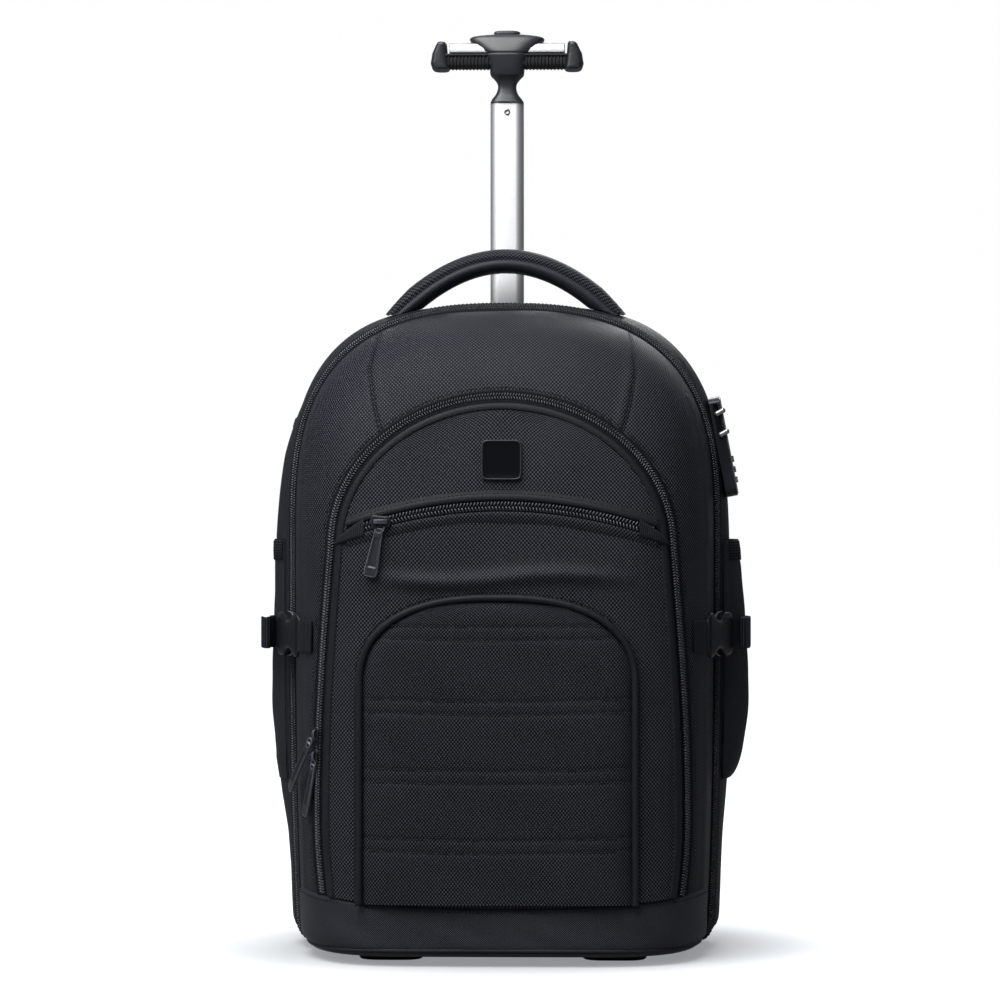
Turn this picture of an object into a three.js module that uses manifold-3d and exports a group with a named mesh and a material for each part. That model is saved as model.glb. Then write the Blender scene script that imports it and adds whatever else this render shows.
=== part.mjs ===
// A wheeled backpack that stands on two wheels and two front feet, with its telescopic handle pulled out.
// Millimetres. X runs to the right seen from the front, Y away from the viewer, Z up from the floor.
import * as THREE from 'three';
import { mergeVertices } from 'three/addons/utils/BufferGeometryUtils.js';
import Module from 'manifold-3d';

const wasm = await Module();
wasm.setup();

// Outline of the bag seen from the front
const ZIP_WIDTH = 332;
const ZIP_TOP = 508.5;
const REAR_WIDTH = 356;
const REAR_TOP = 512;
const SHOULDER_HEIGHT = 330;
const SHELL_FOOT = 12;
const FOOT_ROUNDING = 13;
const FOOT_TAPER = 6;

// Depth of the bag
const ZIP_Y = -5;
const FRONT_DEPTH = 103;
const REAR_DEPTH = 63.6;
const TOP_FLATTENING = 0.28;
const SHELL_WALL = 3;
const BACK_CORNER = 24;

// Zips and small gaps
const GAP = 0.5;
const ZIP_TAPE = 10;
const ZIP_THICK = 2.4;

// Front pocket, on the front shell
const POCKET_WIDTH = 274;
const POCKET_TOP = 437.5;
const POCKET_SHOULDER = 323;
const POCKET_WALL = 3;
const POCKET_LIFT = 0.8;
const POCKET_SHOULDER_SHARE = 0.955;
const FRONT_TAPE = 9;

// Lower quilted pocket, on the front pocket
const QUILT_WIDTH = 214;
const QUILT_TOP = 286;
const QUILT_SHOULDER = 215;
const QUILT_WALL = 4.5;
const QUILT_SHIFT = -3;
const PIPING_RADIUS = 2.7;
const QUILT_ROWS_Z = [257, 200, 147, 94];
const QUILT_GROOVE = 1.6;

// Small pocket zip and its puller
const SMALL_ZIP_LENGTH = 234;
const SMALL_ZIP_TOP = 353;
const SMALL_ZIP_DROP = 20;
const SMALL_ZIP_WIDTH = 13;
const PULLER_LENGTH = 36;
const PULLER_WIDTH = 9;
const PULLER_THICK = 2;
const SLIDER_LENGTH = 11;
const SLIDER_WIDTH = 9;
const SLIDER_THICK = 4;

// Badge
const BADGE_SIZE = 31;
const BADGE_THICK = 2.4;
const BADGE_OVER_ZIP = 35;

// Base
const BAND_TOP = 45;
const BAND_RISE = 11;
const BAND_THICK = 1.8;
const TRAY_THICK = 3.6;
const FRONT_FOOT_WIDTH = 50;
const FRONT_FOOT_LENGTH = 34;
const FRONT_FOOT_SPREAD = 174;
const FRONT_FOOT_Y = -62;

// Wheels
const WHEEL_RADIUS = 32;
const WHEEL_WIDTH = 24;
const WHEEL_SPREAD = 242;
const WHEEL_Y = 72;
const AXLE_RADIUS = 4;
const HOUSING_WALL = 3.2;
const WHEEL_CLEARANCE = 3.2;
const RUNNING_GAP = 0.35;

// Side pockets
const SIDE_POCKET_FOOT = 134;
const SIDE_POCKET_TOP = 326;
const SIDE_POCKET_FRONT = 6;
const SIDE_POCKET_BACK = 46;
const SIDE_POCKET_WALL = 1.8;
const SIDE_POCKET_LIFT = 1;
const SIDE_POCKET_PEAK = { left: 9, right: 16 };

// Compression straps
const WEBBING_WIDTH = 25;
const WEBBING_THICK = 1.8;
const STRAP_HEIGHT = 252;
const BUCKLE_WIDTH = 35;
const BUCKLE_LENGTH = 52;
const BUCKLE_THICK = 9;

// Combination lock
const LOCK_LENGTH = 81;
const LOCK_WIDTH = 22;
const LOCK_THICK = 9.6;
const LOCK_HEIGHT = 399;
const UPPER_SLIDER_OVER_LOCK = 31;
const LOWER_SLIDER_OVER_LOCK = 12;
const TOGGLE_HEIGHT = 419;
const TOGGLE_Y = 28;
const LOCK_Y = 12.6;
const DIAL_RADIUS = 5.2;
const DIAL_PROUD = 2.4;
const DIAL_THICK = 5;
const DIAL_PITCH = 8.4;

// Carry handle
const HANDLE_SPAN = 180;
const HANDLE_TOP = 551;
const HANDLE_FOOT = 505;
const HANDLE_THICK = 19;
const HANDLE_DEPTH = 30;
const HANDLE_Y = 25;

// Back panel and shoulder straps
const PAD_WIDTH = 300;
const PAD_TOP = 520;
const PAD_FOOT = 30;
const PAD_THICK = 30;
const PAD_ROUNDING = 9;
const HARNESS_WIDTH = 62;
const HARNESS_THICK = 12;

// Telescopic handle
const TUBE_Y = 76;
const TOP_TUBE = { width: 27.6, depth: 15, wall: 1.3 };
const STAGE_STEP = 3.8;
const STAGE_WALL = 1.5;
const TUBE_FOOT = 46;
const TUBE_MOUTH = 512;
const TOP_TUBE_FOOT = 215;
const GRIP_NECK_FOOT = 685;
const GRIP_TOP = 744.5;
const GRIP_WIDTH = 126;
const GRIP_DEPTH = 26;
const GRIP_BAR_TOP = 734;
const GRIP_BAR_FOOT = 725;
const SLEEVE_FOOT = 712.6;
const CAP_WIDTH = 15;
const CAP_HEIGHT = 24;
const BUTTON_WIDTH = 22;
const BUTTON_DEPTH = 14;
const RIB_PITCH = 3;

const V = (x, y, z) => new THREE.Vector3(x, y, z);
const mix = (a, b, t) => a + (b - a) * t;
const clamp01 = (t) => Math.min(1, Math.max(0, t));

// Closed bodies from points and triangles: equal points become one, and the faces are turned outwards.
function bodyFrom(points, faces) {
  const firstAt = new Map();
  const kept = [];
  const indexOf = points.map((p) => {
    const key = [p.x, p.y, p.z].map((v) => Math.round(v * 2000)).join(' ');
    if (!firstAt.has(key)) {
      firstAt.set(key, kept.length);
      kept.push(p);
    }
    return firstAt.get(key);
  });
  const triangles = faces
    .map((face) => face.map((i) => indexOf[i]))
    .filter(([a, b, c]) => a !== b && b !== c && c !== a);
  let volume = 0;
  for (const [a, b, c] of triangles) {
    volume += kept[a].dot(V(0, 0, 0).crossVectors(kept[b], kept[c]));
  }
  const index = triangles.flatMap(([a, b, c]) => (volume < 0 ? [a, c, b] : [a, b, c]));
  const geometry = new THREE.BufferGeometry();
  geometry.setAttribute('position', new THREE.Float32BufferAttribute(kept.flatMap((p) => p.toArray()), 3));
  geometry.setIndex(index);
  return geometry;
}

// A body lofted through rings of equally many points, capped at both ends or closed into a loop.
function loft(rings, loop = false) {
  const count = rings[0].length;
  const faces = [];
  const steps = loop ? rings.length : rings.length - 1;
  for (let k = 0; k < steps; k += 1) {
    const here = k * count;
    const next = ((k + 1) % rings.length) * count;
    for (let i = 0; i < count; i += 1) {
      const j = (i + 1) % count;
      faces.push([here + i, here + j, next + j], [here + i, next + j, next + i]);
    }
  }
  if (!loop) {
    const last = (rings.length - 1) * count;
    for (let i = 1; i < count - 1; i += 1) {
      faces.push([0, i + 1, i], [last, last + i, last + i + 1]);
    }
  }
  return bodyFrom(rings.flat(), faces);
}

// A wall between two grids of points with the same rows and columns. Points that fall together are joined,
// and every edge that is left open is closed by a strip between the two sides.
function wallBetween(outer, inner) {
  const columns = outer[0].length;
  const outerPoints = outer.flat();
  const innerPoints = inner.flat();
  const firstAt = new Map();
  const same = outerPoints.map((p, i) => {
    const key = [p.x, p.y, p.z].map((v) => Math.round(v * 500)).join(' ');
    if (!firstAt.has(key)) firstAt.set(key, i);
    return firstAt.get(key);
  });
  const sheet = [];
  for (let r = 0; r < outer.length - 1; r += 1) {
    for (let c = 0; c < columns - 1; c += 1) {
      const a = same[r * columns + c];
      const b = same[r * columns + c + 1];
      const d = same[(r + 1) * columns + c];
      const e = same[(r + 1) * columns + c + 1];
      if (a !== b && b !== e && e !== a) sheet.push([a, b, e]);
      if (a !== e && e !== d && d !== a) sheet.push([a, e, d]);
    }
  }
  const edges = new Set();
  for (const [a, b, c] of sheet) {
    edges.add(`${a} ${b}`).add(`${b} ${c}`).add(`${c} ${a}`);
  }
  const n = outerPoints.length;
  const faces = [...sheet];
  for (const [a, b, c] of sheet) {
    faces.push([a + n, c + n, b + n]);
  }
  for (const edge of edges) {
    const [a, b] = edge.split(' ').map(Number);
    if (!edges.has(`${b} ${a}`)) faces.push([b, a, a + n], [b, a + n, b + n]);
  }
  return bodyFrom([...outerPoints, ...innerPoints], faces);
}

function toManifold(geometry) {
  const plain = geometry.clone();
  plain.deleteAttribute('normal');
  plain.deleteAttribute('uv');
  const merged = mergeVertices(plain, 1e-3);
  const mesh = new wasm.Mesh({
    numProp: 3,
    vertProperties: new Float32Array(merged.attributes.position.array),
    triVerts: new Uint32Array(merged.index.array),
  });
  return new wasm.Manifold(mesh);
}

function fromManifold(body) {
  const mesh = body.getMesh();
  const geometry = new THREE.BufferGeometry();
  geometry.setAttribute('position', new THREE.BufferAttribute(new Float32Array(mesh.vertProperties), 3));
  geometry.setIndex(new THREE.BufferAttribute(new Uint32Array(mesh.triVerts), 1));
  return geometry;
}

// The first body without the others
function cut(geometry, ...tools) {
  const rest = tools.reduce((body, tool) => body.subtract(toManifold(tool)), toManifold(geometry));
  return fromManifold(rest);
}

function join(...geometries) {
  const [first, ...others] = geometries.map(toManifold);
  return fromManifold(others.reduce((body, other) => body.add(other), first));
}

// A plain block between two corners
function block(low, high) {
  const size = high.map((v, i) => v - low[i]);
  const geometry = new THREE.BoxGeometry(...size);
  geometry.translate(...low.map((v, i) => v + size[i] / 2));
  return geometry;
}

// Outlines: an arched top above a shoulder height, straight sides below it that round in at the foot.
const zipOutline = {
  half: ZIP_WIDTH / 2, top: ZIP_TOP, shoulder: SHOULDER_HEIGHT, sidePower: 2.6, topPower: 3,
};
const rearOutline = {
  half: REAR_WIDTH / 2, top: REAR_TOP, shoulder: SHOULDER_HEIGHT, sidePower: 3.5, topPower: 2.5,
};

function blendOutlines(a, b, t) {
  return {
    half: mix(a.half, b.half, t),
    top: mix(a.top, b.top, t),
    shoulder: mix(a.shoulder, b.shoulder, t),
    sidePower: mix(a.sidePower, b.sidePower, t),
    topPower: mix(a.topPower, b.topPower, t),
  };
}

function insetOutline(o, inset) {
  return { ...o, half: o.half - inset, top: o.top - inset };
}

// Half the width at a height below the shoulder: the bag narrows a little and rounds in at its foot.
function halfBelow(o, z) {
  const low = clamp01((o.shoulder - z) / (o.shoulder - SHELL_FOOT));
  const rounding = clamp01((SHELL_FOOT + FOOT_ROUNDING - z) / FOOT_ROUNDING);
  return o.half - FOOT_TAPER * low ** 3 - FOOT_ROUNDING * 0.6 * (1 - Math.sqrt(1 - 0.9 * rounding ** 2));
}

// Half the width at any height
function halfAt(o, z) {
  if (z <= o.shoulder) return halfBelow(o, z);
  const rise = clamp01((z - o.shoulder) / (o.top - o.shoulder));
  return o.half * (1 - rise ** o.topPower) ** (1 / o.sidePower);
}

// Height of the arch over a point of the width
function archAt(o, x) {
  const side = clamp01(Math.abs(x) / o.half);
  return o.shoulder + (o.top - o.shoulder) * (1 - side ** o.sidePower) ** (1 / o.topPower);
}

// Stations run along an outline from the left foot over the top to the right foot.
function stations(footZ, shoulder, sideSteps, archSteps, sideEase = 1) {
  const list = [];
  for (let i = 0; i < sideSteps; i += 1) {
    list.push({ side: -1, z: mix(footZ, shoulder, (i / sideSteps) ** sideEase) });
  }
  for (let i = 0; i <= archSteps; i += 1) {
    list.push({ angle: Math.PI * (1 - i / archSteps) });
  }
  for (let i = sideSteps - 1; i >= 0; i -= 1) {
    list.push({ side: 1, z: mix(footZ, shoulder, (i / sideSteps) ** sideEase) });
  }
  return list;
}

// The outline's point at a station, and the point of the middle line that belongs to it
function onOutline(o, station) {
  if (station.side) return { x: station.side * halfBelow(o, station.z), z: station.z, middle: station.z };
  const c = Math.cos(station.angle);
  const s = Math.sin(station.angle);
  const x = o.half * Math.sign(c) * Math.abs(c) ** (2 / o.sidePower);
  const z = o.shoulder + (o.top - o.shoulder) * Math.max(0, s) ** (2 / o.topPower);
  return { x, z, middle: o.shoulder };
}

// Front of the bag: how far it stands forward of the zip at a point of the front view
function frontDepth(x, z, inset = 0) {
  const half = halfAt(zipOutline, Math.min(z, SHOULDER_HEIGHT)) - inset;
  const rise = clamp01((z - SHOULDER_HEIGHT) / (ZIP_TOP - inset - SHOULDER_HEIGHT));
  const share = (Math.abs(x) / half) ** zipOutline.sidePower + rise ** zipOutline.topPower;
  const high = clamp01((z - 290) / (ZIP_TOP - 290));
  const depth = (FRONT_DEPTH - inset) * (1 - TOP_FLATTENING * high ** 2);
  return depth * Math.sqrt(Math.max(0, 1 - share ** 2.2));
}

// The rim of the front shell stands in front of the zip tape.
const FRONT_RIM_Y = ZIP_Y - ZIP_TAPE / 2 - GAP;
const REAR_RIM_Y = ZIP_Y + ZIP_TAPE / 2 + GAP;
const frontY = (x, z, inset = 0) => FRONT_RIM_Y - frontDepth(x, z, inset);

// A point on the front, lifted off it along its normal
function onFront(x, z, lift) {
  const step = 0.4;
  const slopeX = (frontY(x + step, z) - frontY(x - step, z)) / (2 * step);
  const slopeZ = (frontY(x, z + step) - frontY(x, z - step)) / (2 * step);
  const normal = V(slopeX, -1, slopeZ).normalize();
  const point = V(x, frontY(x, z), z).addScaledVector(normal, lift);
  return { point, normal };
}

// Front shell: rows from its rim to the middle line
const FRONT_ROWS = [1, 0.997, 0.985, 0.96, 0.92, 0.86, 0.76, 0.6, 0.35, 0];
const shellStations = stations(SHELL_FOOT, SHOULDER_HEIGHT, 6, 20, 1.15);

function frontRow(share, inset) {
  const outline = insetOutline(zipOutline, inset);
  return shellStations.map((station) => {
    const p = onOutline(outline, station);
    const x = p.x * share;
    const z = mix(p.middle, p.z, share);
    const y = share === 1 ? FRONT_RIM_Y : frontY(x, z, inset);
    return V(x, y, z);
  });
}

const frontShell = wallBetween(
  FRONT_ROWS.map((share) => frontRow(share, 0)),
  FRONT_ROWS.map((share) => frontRow(share, SHELL_WALL)),
);

// Rear shell: each row has a share of the depth, a share of the way from the zip's outline to the rear
// outline, a share of the back corner's radius that it is set in, and a share of the way out from the middle.
const REAR_ROWS = [
  { depth: 0, swell: 0, inset: 0, out: 1 },
  { depth: 0.16, swell: 0.22, inset: 0, out: 1 },
  { depth: 0.36, swell: 0.62, inset: 0, out: 1 },
  { depth: 0.56, swell: 1, inset: 0, out: 1 },
  { depth: 0.74, swell: 1, inset: 0.06, out: 1 },
  { depth: 0.88, swell: 1, inset: 0.28, out: 1 },
  { depth: 0.965, swell: 1, inset: 0.6, out: 1 },
  { depth: 1, swell: 1, inset: 1, out: 1 },
  { depth: 1, swell: 1, inset: 1, out: 0.55 },
  { depth: 1, swell: 1, inset: 1, out: 0 },
];

function rearRow(row, inset) {
  const swollen = blendOutlines(zipOutline, rearOutline, row.swell);
  const outline = insetOutline(swollen, row.inset * BACK_CORNER + inset);
  const y = REAR_RIM_Y + row.depth * (REAR_DEPTH - inset);
  return shellStations.map((station) => {
    const p = onOutline(outline, station);
    return V(p.x * row.out, y, mix(p.middle, p.z, row.out));
  });
}

const BACK_Y = REAR_RIM_Y + REAR_DEPTH;

// The rear shell's outline at a depth
function rearOutlineAt(y) {
  const share = clamp01((y - REAR_RIM_Y) / REAR_DEPTH);
  const k = REAR_ROWS.findIndex((row) => row.depth >= share);
  const b = REAR_ROWS[Math.max(1, k)];
  const a = REAR_ROWS[Math.max(1, k) - 1];
  const t = clamp01((share - a.depth) / (b.depth - a.depth));
  const swollen = blendOutlines(zipOutline, rearOutline, mix(a.swell, b.swell, t));
  return insetOutline(swollen, mix(a.inset, b.inset, t) * BACK_CORNER);
}

// Half the bag's width at a depth and a height
function sideAt(y, z) {
  if (y >= REAR_RIM_Y) return halfAt(rearOutlineAt(y), z);
  const depth = clamp01((FRONT_RIM_Y - y) / FRONT_DEPTH);
  const share = (1 - depth ** 2) ** (1 / 2.2);
  return halfAt(zipOutline, z) * share ** (1 / zipOutline.sidePower);
}

// Wheels stand in housings that fill a cut in the bag's lower back corners.
const wheelX = WHEEL_SPREAD / 2;
const housingHalf = WHEEL_WIDTH / 2 + WHEEL_CLEARANCE / 2 + HOUSING_WALL;
const cavityRadius = WHEEL_RADIUS + WHEEL_CLEARANCE;
const housingFront = WHEEL_Y - cavityRadius - HOUSING_WALL;
const housingTop = WHEEL_RADIUS + cavityRadius + HOUSING_WALL;
const PAD_BACK = BACK_Y + GAP + PAD_THICK;
const HOUSING_FOOT = SHELL_FOOT - GAP - TRAY_THICK;

const wheelCuts = [-1, 1].map((side) => block(
  [side * wheelX - housingHalf - GAP, housingFront - GAP, -20],
  [side * wheelX + housingHalf + GAP, PAD_BACK + 60, housingTop + GAP],
));

const rearShell = cut(wallBetween(
  REAR_ROWS.map((row) => rearRow(row, 0)),
  REAR_ROWS.map((row) => rearRow(row, SHELL_WALL)),
), ...wheelCuts);

// A flat tape along a path of points with normals. Its inner face is lifted off the path.
function tape(path, width, thick, lift, loop = false) {
  const count = path.length;
  const rings = path.map(({ point, normal }, i) => {
    const before = path[loop ? (i + count - 1) % count : Math.max(0, i - 1)].point;
    const after = path[loop ? (i + 1) % count : Math.min(count - 1, i + 1)].point;
    const along = V(0, 0, 0).subVectors(after, before).normalize();
    const across = V(0, 0, 0).crossVectors(along, normal).normalize();
    const low = point.clone().addScaledVector(normal, lift);
    const high = point.clone().addScaledVector(normal, lift + thick);
    return [
      low.clone().addScaledVector(across, -width / 2),
      low.clone().addScaledVector(across, width / 2),
      high.clone().addScaledVector(across, width / 2),
      high.clone().addScaledVector(across, -width / 2),
    ];
  });
  return loft(rings, loop);
}

// A round piping along a path of points with normals, resting on the surface of the path
function piping(path, radius, lift, sides = 6) {
  const rings = path.map(({ point, normal }, i) => {
    const before = path[Math.max(0, i - 1)].point;
    const after = path[Math.min(path.length - 1, i + 1)].point;
    const along = V(0, 0, 0).subVectors(after, before).normalize();
    const across = V(0, 0, 0).crossVectors(along, normal).normalize();
    const centre = point.clone().addScaledVector(normal, lift + radius);
    return Array.from({ length: sides }, (_, k) => {
      const angle = (2 * Math.PI * (k + 0.5)) / sides;
      return centre.clone()
        .addScaledVector(across, radius * Math.cos(angle))
        .addScaledVector(normal, radius * Math.sin(angle));
    });
  });
  return loft(rings);
}

// Main zip: a tape in the gap between the two shells, its teeth outwards
const zipPath = stations(SHELL_FOOT, SHOULDER_HEIGHT, 5, 24).map((station) => {
  const p = onOutline(zipOutline, station);
  const q = onOutline(insetOutline(zipOutline, 1), station);
  const normal = V(p.x - q.x, 0, p.z - q.z).normalize();
  return { point: V(p.x, ZIP_Y, p.z), normal };
});
const mainZip = tape(zipPath, ZIP_TAPE, ZIP_THICK, -ZIP_THICK);

// Base band: a strip of plain cloth round the bag's front foot
const bandTop = (x) => BAND_TOP + BAND_RISE * (Math.abs(x) / (ZIP_WIDTH / 2)) ** 2;
const BAND_REACH = ZIP_WIDTH / 2 - 15;
const BAND_COLUMNS = 22;

function bandGrid(lift) {
  return [0, 0.3, 1].map((share) => Array.from({ length: BAND_COLUMNS + 1 }, (_, i) => {
    const x = BAND_REACH * Math.sin((Math.PI / 2) * (i / (BAND_COLUMNS / 2) - 1));
    return onFront(x, mix(SHELL_FOOT + 0.6, bandTop(x), share), lift).point;
  }));
}
const baseBand = wallBetween(bandGrid(POCKET_LIFT + BAND_THICK), bandGrid(POCKET_LIFT));

// Base tray: a stiff plate under both shells, its edge a little proud of them
const TRAY_STEPS = 14;
const trayEdge = Array.from({ length: TRAY_STEPS + 1 }, (_, i) => {
  const share = 1 - Math.cos((Math.PI / 2) * (i / TRAY_STEPS));
  const y = mix(FRONT_RIM_Y - FRONT_DEPTH, FRONT_RIM_Y, share);
  return [sideAt(y, SHELL_FOOT), y];
}).concat([0.06, 0.36, 0.56, 0.74, 0.88, 0.965, 1].map((share) => {
  const y = REAR_RIM_Y + REAR_DEPTH * share;
  return [sideAt(y, SHELL_FOOT), y];
}));
const trayShape = new THREE.Shape([
  ...trayEdge.map(([x, y]) => new THREE.Vector2(x, y)),
  ...[...trayEdge].reverse().filter(([x]) => x > 0.01).map(([x, y]) => new THREE.Vector2(-x, y)),
]);
const trayPlate = new THREE.ExtrudeGeometry(trayShape, { depth: TRAY_THICK, bevelEnabled: false });
trayPlate.translate(0, 0, HOUSING_FOOT);
const baseTray = cut(trayPlate, ...wheelCuts);

// Front foot: a low moulded block with a flat sole
function frontFoot(side) {
  const top = HOUSING_FOOT - GAP;
  const rings = [[0, 0.55], [top * 0.4, 0.86], [top, 1]].map(([z, share]) => {
    const halfX = (FRONT_FOOT_WIDTH / 2) * share;
    const halfY = (FRONT_FOOT_LENGTH / 2) * share;
    return Array.from({ length: 14 }, (_, k) => {
      const angle = (2 * Math.PI * k) / 14;
      const c = Math.cos(angle);
      const s = Math.sin(angle);
      const round = 0.6;
      const x = halfX * Math.sign(c) * Math.abs(c) ** round;
      const y = halfY * Math.sign(s) * Math.abs(s) ** round;
      return V((side * FRONT_FOOT_SPREAD) / 2 + x, FRONT_FOOT_Y + y, z);
    });
  });
  return loft(rings);
}

// Wheel housing: a moulded cover over the wheel's front and top, with a cheek at each side
function wheelHousing(side) {
  const x = side * wheelX;
  const cavityHalf = housingHalf - HOUSING_WALL;
  const outer = block([x - housingHalf, housingFront, HOUSING_FOOT], [x + housingHalf, PAD_BACK, housingTop]);
  const cavity = new THREE.CylinderGeometry(cavityRadius, cavityRadius, cavityHalf * 2, 28);
  cavity.rotateZ(Math.PI / 2);
  cavity.translate(x, WHEEL_Y, WHEEL_RADIUS);
  const below = block(
    [x - cavityHalf, WHEEL_Y - cavityRadius, -20],
    [x + cavityHalf, PAD_BACK + 20, WHEEL_RADIUS],
  );
  const boreRadius = AXLE_RADIUS + RUNNING_GAP;
  const bore = new THREE.CylinderGeometry(boreRadius, boreRadius, housingHalf * 4, 16);
  bore.rotateZ(Math.PI / 2);
  bore.translate(x, WHEEL_Y, WHEEL_RADIUS);
  const rear = block(
    [x - cavityHalf, WHEEL_Y, WHEEL_RADIUS - 1],
    [x + cavityHalf, PAD_BACK + 20, WHEEL_RADIUS + cavityRadius * 0.7],
  );
  return cut(outer, cavity, below, rear, bore);
}

// Wheel: a tyre on a hub, turned about its axle
function wheel(side) {
  const half = WHEEL_WIDTH / 2;
  const bore = AXLE_RADIUS + RUNNING_GAP;
  const profile = [
    [bore, -half], [WHEEL_RADIUS * 0.45, -half],
    [WHEEL_RADIUS * 0.75, -half * 0.7], [WHEEL_RADIUS * 0.84, -half],
    [WHEEL_RADIUS, -half * 0.6], [WHEEL_RADIUS, half * 0.6], [WHEEL_RADIUS * 0.84, half],
    [WHEEL_RADIUS * 0.75, half * 0.7], [WHEEL_RADIUS * 0.45, half], [bore, half],
  ];
  const sides = 20;
  const rings = Array.from({ length: sides }, (_, k) => {
    const angle = (2 * Math.PI * k) / sides;
    return profile.map(([r, x]) => V(
      side * wheelX + x,
      WHEEL_Y + r * Math.sin(angle),
      WHEEL_RADIUS - r * Math.cos(angle),
    ));
  });
  return loft(rings, true);
}

function axle(side) {
  const rod = new THREE.CylinderGeometry(AXLE_RADIUS, AXLE_RADIUS, housingHalf * 2, 16);
  rod.rotateZ(Math.PI / 2);
  rod.translate(side * wheelX, WHEEL_Y, WHEEL_RADIUS);
  return rod;
}

// Arched front pocket and its zip
const pocketOutline = { half: POCKET_WIDTH / 2, top: POCKET_TOP, shoulder: POCKET_SHOULDER };

// Half the pocket's width: it widens below the shoulder and draws in at the foot.
function pocketHalf(z, inset) {
  const half = pocketOutline.half - inset;
  if (z > POCKET_SHOULDER) {
    const rise = clamp01((z - POCKET_SHOULDER) / (POCKET_TOP - inset - POCKET_SHOULDER));
    return half * POCKET_SHOULDER_SHARE * Math.sqrt(1 - rise ** 2);
  }
  const low = clamp01((POCKET_SHOULDER - z) / (POCKET_SHOULDER - BAND_TOP));
  const widening = Math.sin((Math.PI / 2) * Math.min(1, low / 0.75));
  const drawingIn = clamp01((low - 0.75) / 0.25) ** 2;
  return half * (mix(POCKET_SHOULDER_SHARE, 1.035, widening) - 0.04 * drawingIn);
}

function pocketEdge(inset, footLift, sideSteps, archSteps) {
  const left = [];
  for (let i = 0; i < sideSteps; i += 1) {
    const foot = bandTop(pocketOutline.half) + footLift;
    const z = mix(foot, POCKET_SHOULDER, i / sideSteps);
    left.push({ x: -pocketHalf(z, inset), z, middle: z });
  }
  const arch = [];
  for (let i = 0; i <= archSteps; i += 1) {
    const angle = Math.PI * (1 - i / archSteps);
    const x = (pocketOutline.half - inset) * POCKET_SHOULDER_SHARE * Math.cos(angle);
    const z = POCKET_SHOULDER + (POCKET_TOP - inset - POCKET_SHOULDER) * Math.sin(angle);
    arch.push({ x, z, middle: POCKET_SHOULDER });
  }
  return [...left, ...arch, ...left.map((p) => ({ ...p, x: -p.x })).reverse()];
}

const POCKET_ROWS = [1, 0.98, 0.94, 0.87, 0.76, 0.6, 0.35, 0];

function pocketGrid(lift) {
  const edge = pocketEdge(FRONT_TAPE / 2 + GAP, BAND_THICK, 6, 18);
  return POCKET_ROWS.map((share) => edge.map((p) => {
    const z = mix(p.middle, p.z, share);
    const x = p.x * share;
    const foot = bandTop(x) + GAP * 2;
    const edgeLift = Math.min(lift, POCKET_LIFT + POCKET_WALL * 0.6);
    return onFront(x, Math.max(z, foot), share === 1 ? edgeLift : lift).point;
  }));
}
const frontPocket = wallBetween(pocketGrid(POCKET_LIFT + POCKET_WALL), pocketGrid(POCKET_LIFT));

const frontZipPath = pocketEdge(0, 4, 8, 24).map((p) => onFront(p.x, p.z, 0));
const frontZip = tape(frontZipPath, FRONT_TAPE, ZIP_THICK, POCKET_LIFT);

// Lower quilted pocket: a padded panel with sewn channels across it
const pocketTopLift = POCKET_LIFT + POCKET_WALL;

function quiltEdge(inset, sideSteps, archSteps) {
  const half = QUILT_WIDTH / 2 - inset;
  const points = [];
  const foot = BAND_TOP + BAND_RISE * 0.6;
  for (let i = 0; i < sideSteps; i += 1) {
    points.push({ x: -half, z: mix(foot, QUILT_SHOULDER, i / sideSteps), side: -1 });
  }
  for (let i = 0; i <= archSteps; i += 1) {
    const angle = Math.PI * (1 - i / archSteps);
    const c = Math.cos(angle);
    const x = half * Math.sign(c) * Math.abs(c) ** 0.8;
    points.push({ x, z: QUILT_SHOULDER + (QUILT_TOP - inset - QUILT_SHOULDER) * Math.sin(angle) ** 0.8 });
  }
  for (let i = sideSteps - 1; i >= 0; i -= 1) {
    points.push({ x: half, z: mix(foot, QUILT_SHOULDER, i / sideSteps), side: 1 });
  }
  return points.map((p) => ({ ...p, x: p.x + QUILT_SHIFT }));
}

// Half the quilt's width at a height
function quiltHalf(z, inset) {
  const half = QUILT_WIDTH / 2 - inset;
  if (z <= QUILT_SHOULDER) return half;
  const rise = clamp01((z - QUILT_SHOULDER) / (QUILT_TOP - inset - QUILT_SHOULDER));
  return half * Math.sqrt(Math.max(0, 1 - rise ** 2.5)) ** 0.8;
}

function quiltGrid(top) {
  const inset = PIPING_RADIUS * 2 + GAP;
  const lift = pocketTopLift + GAP + 0.3;
  const high = QUILT_TOP - inset;
  const foot = BAND_TOP + BAND_RISE * 0.6;
  const heights = [foot];
  for (const z of [...QUILT_ROWS_Z].reverse()) heights.push(z - 9, z, z + 9);
  heights.push(high - 9, high - 4, high - 0.8);
  return heights.map((z) => {
    const half = Math.max(22, quiltHalf(z, inset));
    return Array.from({ length: 9 }, (_, i) => {
      const share = Math.sin((Math.PI / 2) * (i / 4 - 1));
      const x = QUILT_SHIFT + half * share;
      const groove = QUILT_ROWS_Z.includes(z) ? QUILT_GROOVE : 0;
      const crown = QUILT_WALL * (1 - 0.55 * share ** 8) - groove;
      return onFront(x, z, lift + (top ? crown : 0)).point;
    });
  });
}
const lowerPocket = wallBetween(quiltGrid(true), quiltGrid(false));
const quiltPath = quiltEdge(PIPING_RADIUS, 5, 18).map((p) => onFront(p.x, p.z, 0));
const lowerPiping = piping(quiltPath, PIPING_RADIUS, pocketTopLift + GAP);

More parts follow.
